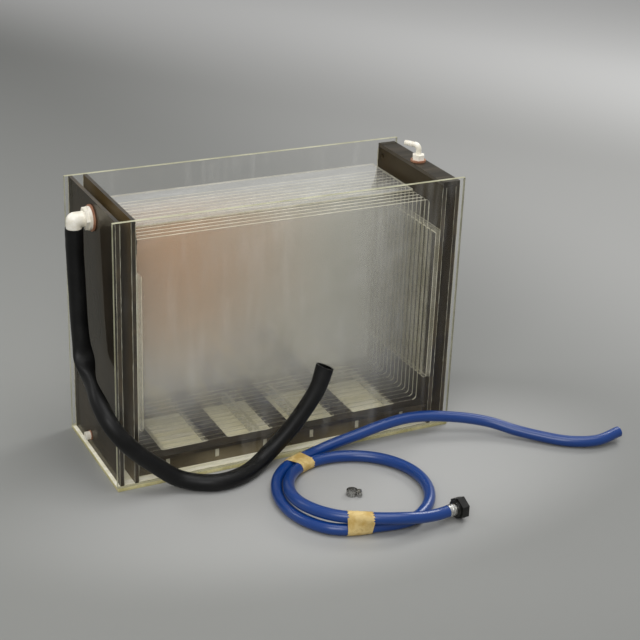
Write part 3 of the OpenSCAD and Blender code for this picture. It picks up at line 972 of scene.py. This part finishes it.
def smooth_line(route: Sequence[Vector], step: float) -> list[Vector]:
    """A smooth line through a route, in steps of one length.

    Args:
        route: The points that it passes through.
        step: The distance between the line's points.

    Returns:
        The line's points.
    """
    ends = [2 * route[0] - route[1], *route, 2 * route[-1] - route[-2]]
    fine: list[Vector] = []
    parts = 24
    for before, start, stop, after in zip(ends, ends[1:], ends[2:], ends[3:]):
        gap = (stop - start).length
        lead = max((start - before).length, 1e-6)
        tail = max((after - stop).length, 1e-6)
        pull_in = ((stop - start) / gap + (start - before) / lead) / 2 * gap
        pull_out = ((after - stop) / tail + (stop - start) / gap) / 2 * gap
        for k in range(parts):
            t = k / parts
            fine.append(
                (2 * t**3 - 3 * t**2 + 1) * start
                + (t**3 - 2 * t**2 + t) * pull_in
                + (-2 * t**3 + 3 * t**2) * stop
                + (t**3 - t**2) * pull_out
            )
    fine.append(route[-1].copy())
    total = sum((b - a).length for a, b in zip(fine, fine[1:]))
    count = max(2, round(total / step))
    spaced = [fine[0]]
    walked = 0.0
    target = total / count
    for a, b in zip(fine, fine[1:]):
        gap = (b - a).length
        while gap > 0 and walked + gap >= target * len(spaced) - 1e-9 and len(spaced) < count:
            spaced.append(a.lerp(b, (target * len(spaced) - walked) / gap))
        walked += gap
    spaced.append(fine[-1])
    return spaced


def line_length(line: Sequence[Vector]) -> float:
    """The length of a line of points."""
    return sum((b - a).length for a, b in zip(line, line[1:]))


def frames_along(line: Sequence[Vector], side: Vector) -> list[tuple[Vector, Vector]]:
    """The two directions across a line at each of its points, carried without twist.

    Args:
        line: The line's points.
        side: The first direction at its start, roughly.

    Returns:
        A pair of directions for each point.
    """
    pairs = []
    across = side
    for k in range(len(line)):
        way = (line[min(k + 1, len(line) - 1)] - line[max(k - 1, 0)]).normalized()
        across = (across - way * across.dot(way)).normalized()
        pairs.append((across, way.cross(across)))
    return pairs


@dataclass
class Hose:
    """A hose: a hollow tube along a smooth route, open at both ends."""

    name: str
    route: list[Vector]
    outer: float
    bore: float
    side: Vector
    material: bpy.types.Material
    slot: Slot
    nodes: tuple[str, ...]
    segments: int = 32
    step: float = 6 * MM
    ripple: float = 0.12 * MM
    press: Callable[[float], tuple[float, float, float]] = lambda along: (1.0, 1.0, 0.0)

    def build(self) -> tuple[bpy.types.Object, list[Vector]]:
        """Builds the tube.

        Returns:
            The piece, and the line that it follows.
        """
        line = smooth_line(self.route, self.step)
        pairs = frames_along(line, self.side)
        total = line_length(line)
        rings, ways = [], []
        for inner in (False, True):
            steps = range(len(line))
            for k in reversed(steps) if inner else steps:
                along = total * k / (len(line) - 1)
                rings.append(self.ring(line[k], pairs[k], along, inner))
                ways.append(along)
        shape = loft(rings, ways)
        piece = collect(self.name, shape, "tank", self.slot, self.material, crease=50.0)
        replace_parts(piece, *self.nodes)
        return piece, line

    def ring(
        self, spot: Vector, pair: tuple[Vector, Vector], along: float, inner: bool
    ) -> list[Vector]:
        """One ring of the tube.

        Args:
            spot: The ring's centre.
            pair: The two directions across the hose there.
            along: How far along the hose it is.
            inner: Whether it is on the bore.

        Returns:
            The ring's points.
        """
        wide, tall, turn = self.press(along)
        wall = (self.outer - self.bore) / 2
        points = []
        for k in range(self.segments):
            angle = math.tau * k / self.segments
            wave = noise.noise(Vector((along * 30, math.cos(angle), math.sin(angle))))
            radius = self.outer / 2 + wave * self.ripple
            x = radius * wide * math.cos(angle)
            y = radius * tall * math.sin(angle)
            if inner:
                x -= wall * math.cos(angle)
                y -= wall * math.sin(angle)
            turned = Vector((x, y)) @ Matrix.Rotation(turn, 2)
            point = spot + pair[0] * turned.x + pair[1] * turned.y
            point.z = max(point.z, 0.0)
            points.append(point)
        return points


def mm(points: Sequence[tuple[float, float, float]]) -> list[Vector]:
    """Points in millimetres as vectors in metres."""
    return [Vector(point) * MM for point in points]


@dataclass
class DrainHose:
    """The black drain hose, from the outlet elbow down to the floor and up to its open end."""

    finishes: Finishes
    outer: float = 28 * MM
    bore: float = 22 * MM
    length: float = 856.4 * MM
    fold_at: float = 216 * MM

    ROUTE = (
        (-327, 0, 413),
        (-327, 0, 378),
        (-327, -4, 335),
        (-327, -8, 295),
        (-327, -12, 255),
        (-327, -23, 216),
        (-328, -48, 188),
        (-329, -78, 170),
        (-328, -108, 156),
        (-322, -137, 136),
        (-307, -150, 112),
        (-288, -151, 89),
        (-248, -149, 50),
        (-215, -150, 23),
        (-187, -161, 15),
        (-157, -173, 14),
        (-126, -172, 14),
        (-97, -161, 14),
        (-70, -145, 17),
        (-46, -136, 29),
        (-12, -134, 59),
        (18, -134, 96),
        (40, -134, 131),
        (51, -134, 166),
    )

    def press(self, along: float) -> tuple[float, float, float]:
        """How the thin wall is pressed out of round.

        Args:
            along: How far along the hose it is.

        Returns:
            Its width and height against a round hose, and the turn of that oval.
        """
        fold = math.exp(-(((along - self.fold_at) / (20 * MM)) ** 2))
        below = math.exp(-(((along - self.fold_at - 48 * MM) / (26 * MM)) ** 2))
        mouth = max(0.0, 1 - (self.length - along) / (55 * MM)) ** 2
        grip = math.exp(-(((along - 8 * MM) / (9 * MM)) ** 2))
        grip += 0.6 * math.exp(-(((along - 30 * MM) / (6 * MM)) ** 2))
        wide = 1 + 0.24 * fold - 0.32 * below + 0.12 * mouth + 0.03 * grip
        tall = 1 - 0.56 * fold + 0.16 * below - 0.26 * mouth + 0.03 * grip
        return wide, tall, 0.5 * mouth

    def build(self) -> None:
        hose, line = Hose(
            "drain_hose_tube",
            mm(self.ROUTE),
            self.outer,
            self.bore,
            Vector((1, 0, 0)),
            self.finishes.black_hose,
            Slot.BLACK_RUBBER,
            ("drain_hose",),
            segments=40,
            step=5 * MM,
            ripple=0.2 * MM,
            press=self.press,
        ).build()


def ramp(value: float, start: float, stop: float) -> float:
    """A rise from 0 at start to 1 at stop on a cosine."""
    share = min(max((value - start) / (stop - start), 0.0), 1.0)
    return (1 - math.cos(math.pi * share)) / 2


def bump(value: float, middle: float, half: float) -> float:
    """A hump of height 1 at the middle, which ends a half width from it."""
    return (1 + math.cos(math.pi * min(abs(value - middle) / half, 1.0))) / 2


@dataclass
class SupplyHose:
    """The blue supply hose: a lead from its coupling, one coil and a third, and a tail."""

    finishes: Finishes
    outer: float = 19 * MM
    bore: float = 13 * MM
    length: float = 1784.9 * MM
    centre: tuple[float, float] = (38.0, -277.0)
    start: float = -117.0
    sweep: int = 496
    coil_step: int = 8
    coupling: tuple[float, float, float] = (138.0, -403.0, 18.975)
    coupling_turn: float = 6.0
    front_tape: float = 356.0
    rear_tape: float = 492.0
    tape_long: float = 36 * MM
    tape_thick: float = 0.45 * MM

    STRAND_PLACES = 16
    TAIL = (
        (72, -134, 16),
        (119, -132, 23),
        (166, -131, 31),
        (213, -131, 35),
        (250, -135, 34),
        (283, -143, 31),
        (320, -157, 27),
        (358, -178, 21),
        (390, -207, 14),
        (421, -238, 11),
        (460, -272, 10),
        (504, -291, 12),
        (552, -287, 17),
    )

    def coil(self, sweep: float) -> Vector:
        """A point of the coil's centreline, in millimetres.

        Args:
            sweep: How many degrees round the coil it is.

        Returns:
            The point.
        """
        radius = 113 + 9 * ramp(sweep, 145, 245) + 11 * ramp(sweep, 425, 505)
        radius -= 8 * bump(sweep, 92, 50) + 12 * bump(sweep, 343, 40)
        height = 10.1 + 19.6 * (1 - ramp(sweep, 40, 145))
        angle = math.radians(self.start - sweep)
        return Vector(
            (
                self.centre[0] + radius * math.cos(angle),
                self.centre[1] + radius * math.sin(angle),
                height,
            )
        )

    def way(self, sweep: float) -> Vector:
        """The direction of the coil at a point of it."""
        return (self.coil(sweep + 1) - self.coil(sweep - 1)).normalized()

    def strand(self, sweep: float) -> Vector:
        """A point of the coil, or of the straight lead or tail just past its ends.

        Args:
            sweep: How many degrees round the coil it is.

        Returns:
            The point, in millimetres.
        """
        held = min(max(sweep, 0.0), float(self.sweep))
        spot = self.coil(held)
        reach = (Vector((*self.centre, spot.z)) - spot).length
        return spot + self.way(held) * math.radians(sweep - held) * reach

    def route(self) -> list[Vector]:
        """The whole hose's route, from its coupling to its open end.

        Returns:
            The points, in metres.
        """
        grip = self.outer / MM
        turn = math.radians(self.coupling_turn)
        out = Vector((math.cos(turn), math.sin(turn), 0))
        at = Vector(self.coupling)
        coil_in = self.coil(0) - grip * self.way(0)
        coil_out = self.coil(self.sweep) + grip * self.way(self.sweep)
        lead = [
            at,
            at - grip * out,
            Vector((88, -408, 23)),
            Vector((58, -407, 28)),
            coil_in - grip * self.way(0),
        ]
        turns = [self.coil(k) for k in range(0, self.sweep + 1, self.coil_step)]
        tail = [coil_out + grip * self.way(self.sweep), *map(Vector, self.TAIL)]
        return [point * MM for point in [*lead, coil_in, *turns, coil_out, *tail]]

    @staticmethod
    def beside(line: Sequence[Vector], near: Vector, way: Vector) -> Vector:
        """Where the hose crosses a plane, close to a point.

        Args:
            line: The hose's own line, in metres.
            near: A point close to the crossing, in millimetres, in the plane.
            way: The plane's normal.

        Returns:
            The crossing, in millimetres.
        """
        place = min(range(1, len(line) - 1), key=lambda k: (line[k] / MM - near).length)
        spot = line[place] / MM
        along = (line[place + 1] - line[place - 1]).normalized()
        return spot - along * ((spot - near).dot(way) / along.dot(way))

    def tape(
        self, line: Sequence[Vector], name: str, at: float, node: str, torn: float
    ) -> bpy.types.Object:
        """A band of tape wound round two strands of the coil.

        Args:
            line: The hose's own line, in metres.
            name: The band's name.
            at: Where its middle is, in degrees round the coil.
            node: The solid that it stands for.
            torn: How ragged its ends are.

        Returns:
            The band.
        """
        arc = math.degrees(self.tape_long / MM / (self.coil(at) - self.here()).length)
        steps, count = 18, 56
        draw = random.Random(SEED + int(at))
        rags = [draw.uniform(-1, 1) * torn for _ in range(count)]
        strands = self.strands(line, at, arc * 1.4)
        rings, ways = [], []
        for inner in (False, True):
            places = range(steps + 1)
            for k in reversed(places) if inner else places:
                share = k / steps
                ring = []
                for j in range(count):
                    rag = rags[j] * (2 * abs(share - 0.5)) ** 4
                    place = 0.5 + (share - 0.5) * (1 + rag) / 1.4
                    ring.append(self.tape_point(strands, place, j / count, share, inner))
                rings.append(ring)
                ways.append(self.tape_long * share)
        band = collect(
            name, loft(rings, ways), "tank", Slot.TAPE, self.finishes.tape, crease=60.0
        )
        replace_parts(band, node)
        return band

    def here(self) -> Vector:
        """The middle of the coil at the height of its lower turn."""
        return Vector((*self.centre, 10.1))

    def strands(
        self, line: Sequence[Vector], at: float, arc: float
    ) -> list[tuple[Vector, Vector, Vector]]:
        """The two strands under a band of tape, and the way that they run.

        Args:
            line: The hose's own line, in metres.
            at: Where the band's middle is, in degrees round the coil.
            arc: How many degrees it covers, with some to spare.

        Returns:
            For each of a row of places, a point of either strand and their direction.
        """
        row = []
        for k in range(self.STRAND_PLACES + 1):
            sweep = at + arc * (k / self.STRAND_PLACES - 0.5)
            way = self.way(min(sweep, float(self.sweep)))
            near = self.beside(line, self.strand(sweep), way)
            far = self.strand(sweep - 360)
            far = self.beside(line, far - way * (far - near).dot(way), way)
            row.append((near, far, way))
        return row

    def tape_point(
        self,
        strands: Sequence[tuple[Vector, Vector, Vector]],
        place: float,
        round_share: float,
        share: float,
        inner: bool,
    ) -> Vector:
        """A point of a band of tape.

        Args:
            strands: The two strands under the band and their direction, in a row.
            place: Where it is, as a share of that row.
            round_share: Its share of the way round the two strands.
            share: Its share of the band's length.
            inner: Whether it is on the band's inner face.

        Returns:
            The point, in metres.
        """
        spot = min(max(place, 0.0), 1.0) * self.STRAND_PLACES
        step = min(int(spot), self.STRAND_PLACES - 1)
        ends = zip(strands[step], strands[step + 1])
        near, far, way = (a.lerp(b, spot - step) for a, b in ends)
        gap = far - near
        gap -= way * gap.dot(way)
        apart = gap.length
        out = gap.normalized()
        up = way.cross(out)
        angle = math.tau * round_share
        crease = 0.5 * noise.noise(Vector((share * 5, round_share * 22, near.x)))
        crease += 0.3 * noise.noise(Vector((share * 14, round_share * 60, 4.0)))
        reach = self.outer / MM / 2 + 0.25
        if not inner:
            reach += self.tape_thick / MM + max(crease, -0.25)
        spot = near + out * (apart if math.cos(angle) > 0 else 0.0)
        point = spot + (out * math.cos(angle) + up * math.sin(angle)) * reach
        point.z = max(point.z, 0.1)
        return point * MM

    def build(self) -> None:
        hose, line = Hose(
            "supply_hose_tube",
            self.route(),
            self.outer,
            self.bore,
            Vector((0, 0, 1)),
            self.finishes.blue_hose,
            Slot.BLUE_HOSE,
            ("supply_hose_lead", "supply_hose_coil", "supply_hose_tail"),
            segments=32,
            step=5 * MM,
        ).build()
        tapes = [
            self.tape(line, "front_tape_wrap", self.front_tape, "front_tape_band", 0.10),
            self.tape(line, "rear_tape_wrap", self.rear_tape, "rear_tape_band", 0.06),
        ]
        dress(self.finishes.plated, "hose_tailpiece")
        dress(self.finishes.black_plastic, "swivel_nut")
        dress(self.finishes.washer, "nut_seal")


@dataclass
class Tank:
    """The glued tank: clear base and walls, smoked ends, partitions, floor and rails."""

    finishes: Finishes
    lip: float = 0.35 * MM

    def walls(self) -> None:
        """Builds the clear base plate, front panel and back panel."""
        for node, thin, material in (
            ("base_plate", Axis.Z, self.finishes.base),
            ("front_panel", Axis.Y, self.finishes.wall),
            ("back_panel", Axis.Y, self.finishes.wall),
        ):
            low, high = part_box(node)
            shape = sheet_shape(low, high, thin, 0.0, self.lip)
            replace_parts(collect(f"{node}_sheet", shape, "tank", Slot.CLEAR, material), node)

    def ends(self) -> None:
        """Dresses the smoked ends, partitions, cover, floor and risers, and the rails."""
        dress(self.finishes.smoked_end, "outlet_end_panel")
        dress(self.finishes.smoked_inner, "inlet_end_panel", "inlet_partition")
        dress(self.finishes.smoked_chamber, "overflow_partition")
        dress(self.finishes.smoked_floor, "inlet_chamber_cover", "false_floor")
        dress(self.finishes.smoked_riser, "front_riser", "back_riser")
        dress(self.finishes.joist, "floor_joists")
        dress(self.finishes.rail, "outlet_side_rail", "inlet_side_rail")

    def build(self) -> None:
        """Builds and dresses the tank."""
        self.walls()
        self.ends()


@dataclass
class GlueSeams:
    """The beads of glue that show in the corners of the tank."""

    finishes: Finishes
    width: float = 1.1 * MM
    step: float = 7 * MM

    def bead(
        self,
        name: str,
        start: Vector,
        stop: Vector,
        first: Vector,
        second: Vector,
        void: bool = False,
    ) -> None:
        """One bead in the corner between two faces.

        Args:
            name: The bead's name.
            start: Where it starts, in the corner.
            stop: Where it ends.
            first: The direction away from the corner along one face.
            second: The direction away from the corner along the other.
            void: Whether it is a dark gap in the glue and not a bead of it.
        """
        width = self.width * (2.2 if void else 1.0)
        count = max(4, round((stop - start).length / self.step))
        draw = random.Random(SEED + len(name) * 31 + round(start.x * 1000))
        rings, ways = [], []
        for k in range(count + 1):
            spot = start.lerp(stop, k / count)
            wide = width * draw.uniform(0.45, 1.25)
            tall = width * draw.uniform(0.45, 1.25)
            rings.append(
                [
                    spot + first * 0.02 * MM + second * 0.02 * MM,
                    spot + first * wide,
                    spot + first * wide * 0.45 + second * tall * 0.45,
                    spot + second * tall,
                ]
            )
            ways.append(k * self.step)
        slot = Slot.SMOKED if void else Slot.CLEAR
        material = self.finishes.void if void else self.finishes.glue
        collect(name, loft(rings, ways, False), "tank", slot, material)

    def build(self) -> None:
        """Builds the beads beside the ends and partitions, and along the base."""
        wall_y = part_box("back_panel")[0].y
        floor_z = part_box("base_plate")[1].z
        for node, mark in (
            ("outlet_end_panel", "outlet_end"),
            ("inlet_end_panel", "inlet_end"),
            ("overflow_partition", "overflow"),
            ("inlet_partition", "inlet"),
        ):
            low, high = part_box(node)
            for x, out in ((low.x, Vector((-1, 0, 0))), (high.x, Vector((1, 0, 0)))):
                for y, in_y in ((-wall_y, Vector((0, 1, 0))), (wall_y, Vector((0, -1, 0)))):
                    where = f"{'front' if y < 0 else 'back'}_{'left' if out.x < 0 else 'right'}"
                    self.bead(
                        f"glue_{mark}_{where}",
                        Vector((x, y, low.z + self.width)),
                        Vector((x, y, high.z - 4 * MM)),
                        out,
                        in_y,
                    )
        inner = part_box("inlet_partition")[0].x
        for side, mark in ((-1, "overflow"), (1, "inlet")):
            self.bead(
                f"glue_gap_{mark}",
                Vector((side * inner, -wall_y, 402 * MM)),
                Vector((side * inner, -wall_y, 436 * MM)),
                Vector((-side, 0, 0)),
                Vector((0, 1, 0)),
                void=True,
            )
        for y, in_y in ((-wall_y, Vector((0, 1, 0))), (wall_y, Vector((0, -1, 0)))):
            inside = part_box("inlet_partition")[0].x - 2 * self.width
            self.bead(
                f"glue_base_{'front' if y < 0 else 'back'}",
                Vector((-inside, y, floor_z)),
                Vector((inside, y, floor_z)),
                in_y,
                Vector((0, 0, 1)),
            )


@dataclass
class Dividers:
    """The thirteen loose divider sheets and the plate that holds them down."""

    finishes: Finishes
    count: int = 13
    corner: float = 7 * MM
    plate_corner: float = 2 * MM
    lip: float = 0.3 * MM

    def build(self) -> None:
        """Builds each divider and the hold-down plate."""
        for number in range(1, self.count + 1):
            node = f"divider_{number:02d}"
            low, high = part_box(node)
            shape = sheet_shape(low, high, Axis.Y, self.corner, self.lip)
            piece = collect(f"{node}_sheet", shape, node, Slot.CLEAR, self.finishes.divider)
            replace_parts(piece, node)
        low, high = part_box("hold_down_plate")
        shape = sheet_shape(low, high, Axis.Z, self.plate_corner, self.lip)
        piece = collect(
            "hold_down_sheet", shape, "hold_down_plate", Slot.CLEAR, self.finishes.plate
        )
        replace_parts(piece, "hold_down_plate")


@dataclass
class OutletElbow:
    """The moulded outlet elbow: a flange, a hexagon and a tight corner down to the hose."""

    finishes: Finishes
    leg: float = -327 * MM
    level: float = 426 * MM
    inner_end: float = -283.5 * MM
    seat: float = -301.5 * MM
    flange_end: float = -305.5 * MM
    hex_end: float = -311.5 * MM
    spigot_end: float = 375 * MM
    shank: float = 12.0 * MM
    flange: float = 19.0 * MM
    hex_flat: float = 16.0 * MM
    body: float = 12.5 * MM
    spigot: float = 9.8 * MM
    bore: float = 8.5 * MM
    inside_round: float = 0.6 * MM
    sides: int = 48
    corner_steps: int = 12

    def ring(self, spot: Vector, out: Vector, reach: float, half: float, hexed: bool) -> list[Vector]:
        """One ring of the elbow.

        Args:
            spot: The ring's centre.
            out: The direction from the inside of the bend to its outside.
            reach: Its half size along that direction.
            half: Its half size across it.
            hexed: Whether it is a hexagon.

        Returns:
            The ring's points.
        """
        points = []
        for k in range(self.sides):
            angle = math.tau * k / self.sides
            sixth = (math.degrees(angle) + 30) % 60 - 30
            share = 1 / math.cos(math.radians(sixth)) if hexed else 1.0
            along = out * math.cos(angle) * reach * share
            points.append(spot + along + Vector((0, half * share * math.sin(angle), 0)))
        return points

    def corner(self, radius: float) -> list[list[Vector]]:
        """The rings round the corner, for the body or for its bore.

        Args:
            radius: The radius of the body or the bore.

        Returns:
            The rings, from the level run to the upright one.
        """
        reach = self.body + self.inside_round
        inside = Vector((self.leg + reach, 0, self.level - reach))
        rings = []
        for k in range(self.corner_steps + 1):
            turn = math.pi / 2 * k / self.corner_steps
            out = Vector((-math.sin(turn), 0, math.cos(turn)))
            less, more = sorted((math.sin(turn), math.cos(turn)))
            both = less + more
            straight = less < 0.5 * more
            reach = self.body / more
            if not straight:
                reach = self.body * (both + math.sqrt(both * both - 1)) / 2
            spot = inside + out * (self.inside_round + reach)
            rings.append(self.ring(spot, out, reach * radius / self.body, radius, False))
        return rings

    def build(self) -> None:
        """Builds the elbow."""
        up, left = Vector((0, 0, 1)), Vector((-1, 0, 0))
        rings = []
        for x, radius, hexed in (
            (self.inner_end, self.shank, False),
            (self.seat, self.shank, False),
            (self.seat, self.flange, False),
            (self.flange_end, self.flange, False),
            (self.flange_end, self.hex_flat, True),
            (self.hex_end, self.hex_flat, True),
            (self.hex_end, self.body, False),
        ):
            spot = Vector((x, 0, self.level))
            rings.append(self.ring(spot, up, radius, radius, hexed))
        rings += self.corner(self.body)
        foot = self.level - self.body - self.inside_round
        for z, radius in (
            (foot, self.spigot),
            (self.spigot_end, self.spigot),
            (self.spigot_end, self.bore),
        ):
            rings.append(self.ring(Vector((self.leg, 0, z)), left, radius, radius, False))
        rings += reversed(self.corner(self.bore))
        spot = Vector((self.inner_end, 0, self.level))
        rings.append(self.ring(spot, up, self.bore, self.bore, False))
        ways = [k * MM for k in range(len(rings))]
        piece = collect(
            "outlet_elbow_body", loft(rings, ways), "tank", Slot.NYLON, self.finishes.nylon
        )
        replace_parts(piece, "outlet_elbow")


@dataclass
class Fittings:
    """The moulded elbows, lock nuts, washers and drain plug, and the loose clamp."""

    finishes: Finishes

    def build(self) -> None:
        """Dresses the fittings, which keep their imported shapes."""
        dress(
            self.finishes.nylon,
            "inlet_elbow",
            "inlet_lock_nut",
            "outlet_lock_nut",
            "drain_plug",
        )
        dress(self.finishes.washer, "inlet_washer", "outlet_washer", "drain_washer")
        dress(self.finishes.clamp, "clamp_band", "clamp_housing", "clamp_screw")


@dataclass
class Studio:
    """The floor, the soft lights, the world and the camera."""

    floor_size: float = 30.0
    floor_drop: float = 0.4 * MM
    swing: float = math.radians(27.2133)
    tilt: float = math.radians(24.1559)
    roll: float = math.radians(2.2431)
    stand: Vector = field(default_factory=lambda: Vector((-0.997945, -2.149121, 1.267983)))
    lens: float = 86.26
    sensor: float = 36.0
    sky: Colour = (0.36, 0.36, 0.36)
    backdrop: Colour = (0.46, 0.46, 0.45)

    def camera(self) -> None:
        """Places the camera where the picture was taken from."""
        a, b, c = self.swing, self.tilt, self.roll
        forward = Vector((math.sin(a) * math.cos(b), math.cos(a) * math.cos(b), -math.sin(b)))
        right = Vector((math.cos(a), -math.sin(a), 0))
        up = right.cross(forward)
        rolled = right * math.cos(c) + up * math.sin(c)
        upright = up * math.cos(c) - right * math.sin(c)
        data = bpy.data.cameras.new("picture_camera")
        data.lens = self.lens
        data.sensor_width = self.sensor
        data.sensor_fit = "HORIZONTAL"
        data.clip_end = 100.0
        data.dof.use_dof = False
        made = bpy.data.objects.new("picture_camera", data)
        turn = Matrix((rolled, upright, -forward)).transposed().to_4x4()
        made.matrix_world = Matrix.Translation(self.stand) @ turn
        bpy.context.scene.collection.objects.link(made)
        bpy.context.scene.camera = made

    def light(self, name: str, at: Vector, aim: Vector, size: float, power: float) -> None:
        """One soft square light.

        Args:
            name: Its name.
            at: Where it hangs.
            aim: The point it faces.
            size: The length of its sides.
            power: Its power in watts.
        """
        data = bpy.data.lights.new(name, "AREA")
        data.shape = "SQUARE"
        data.size = size
        data.energy = power
        made = bpy.data.objects.new(name, data)
        turn = (aim - at).to_track_quat("-Z", "Y").to_matrix().to_4x4()
        made.matrix_world = Matrix.Translation(at) @ turn
        bpy.context.scene.collection.objects.link(made)

    def world(self) -> None:
        """Gives the world an even light, and a backdrop tone where the floor ends."""
        made = bpy.data.worlds.new("studio_world")
        bpy.context.scene.world = made
        made.use_nodes = True
        tree = made.node_tree
        tree.nodes.clear()
        lit = tree.nodes.new("ShaderNodeBackground")
        lit.inputs["Color"].default_value = (*self.sky, 1)
        seen = tree.nodes.new("ShaderNodeBackground")
        seen.inputs["Color"].default_value = (*self.backdrop, 1)
        path = tree.nodes.new("ShaderNodeLightPath")
        direct = tree.nodes.new("ShaderNodeMath")
        direct.operation = "MAXIMUM"
        tree.links.new(path.outputs["Is Camera Ray"], direct.inputs[0])
        tree.links.new(path.outputs["Is Glossy Ray"], direct.inputs[1])
        either = tree.nodes.new("ShaderNodeMixShader")
        end = tree.nodes.new("ShaderNodeOutputWorld")
        tree.links.new(direct.outputs[0], either.inputs[0])
        tree.links.new(lit.outputs[0], either.inputs[1])
        tree.links.new(seen.outputs[0], either.inputs[2])
        tree.links.new(either.outputs[0], end.inputs["Surface"])

    def floor(self) -> None:
        """Lays the floor just under the tank."""
        shape = bmesh.new()
        bmesh.ops.create_grid(shape, x_segments=8, y_segments=8, size=self.floor_size / 2)
        bmesh.ops.translate(shape, vec=(0, 0, -self.floor_drop), verts=shape.verts)
        mesh = bpy.data.meshes.new("studio_floor")
        shape.to_mesh(mesh)
        shape.free()
        mesh.materials.append(FloorFinish().make())
        made = bpy.data.objects.new("studio_floor", mesh)
        bpy.context.scene.collection.objects.link(made)

    def build(self) -> None:
        """Sets up the studio."""
        self.camera()
        self.world()
        self.floor()
        aim = Vector((0, 0, 0.2))
        self.light("overhead_softbox", Vector((0.3, -0.7, 2.9)), aim, 2.0, 36.0)
        self.light("right_softbox", Vector((2.3, 0.9, 2.0)), aim, 1.0, 30.0)
        self.light("left_softbox", Vector((-2.0, 1.2, 2.0)), aim, 0.8, 14.0)
        self.light("front_softbox", Vector((-1.6, -2.4, 2.2)), aim, 1.6, 44.0)
        scene = bpy.context.scene
        scene.view_settings.view_transform = "Standard"
        scene.cycles.transparent_max_bounces = 64


def main() -> None:
    """Builds the washer and its studio."""
    logging.basicConfig(level=logging.INFO, format="%(message)s")
    finishes = Finishes()
    Studio().build()
    DrainHose(finishes).build()
    SupplyHose(finishes).build()
    Tank(finishes).build()
    GlueSeams(finishes).build()
    Dividers(finishes).build()
    OutletElbow(finishes).build()
    Fittings(finishes).build()


if __name__ == "__main__":
    main()
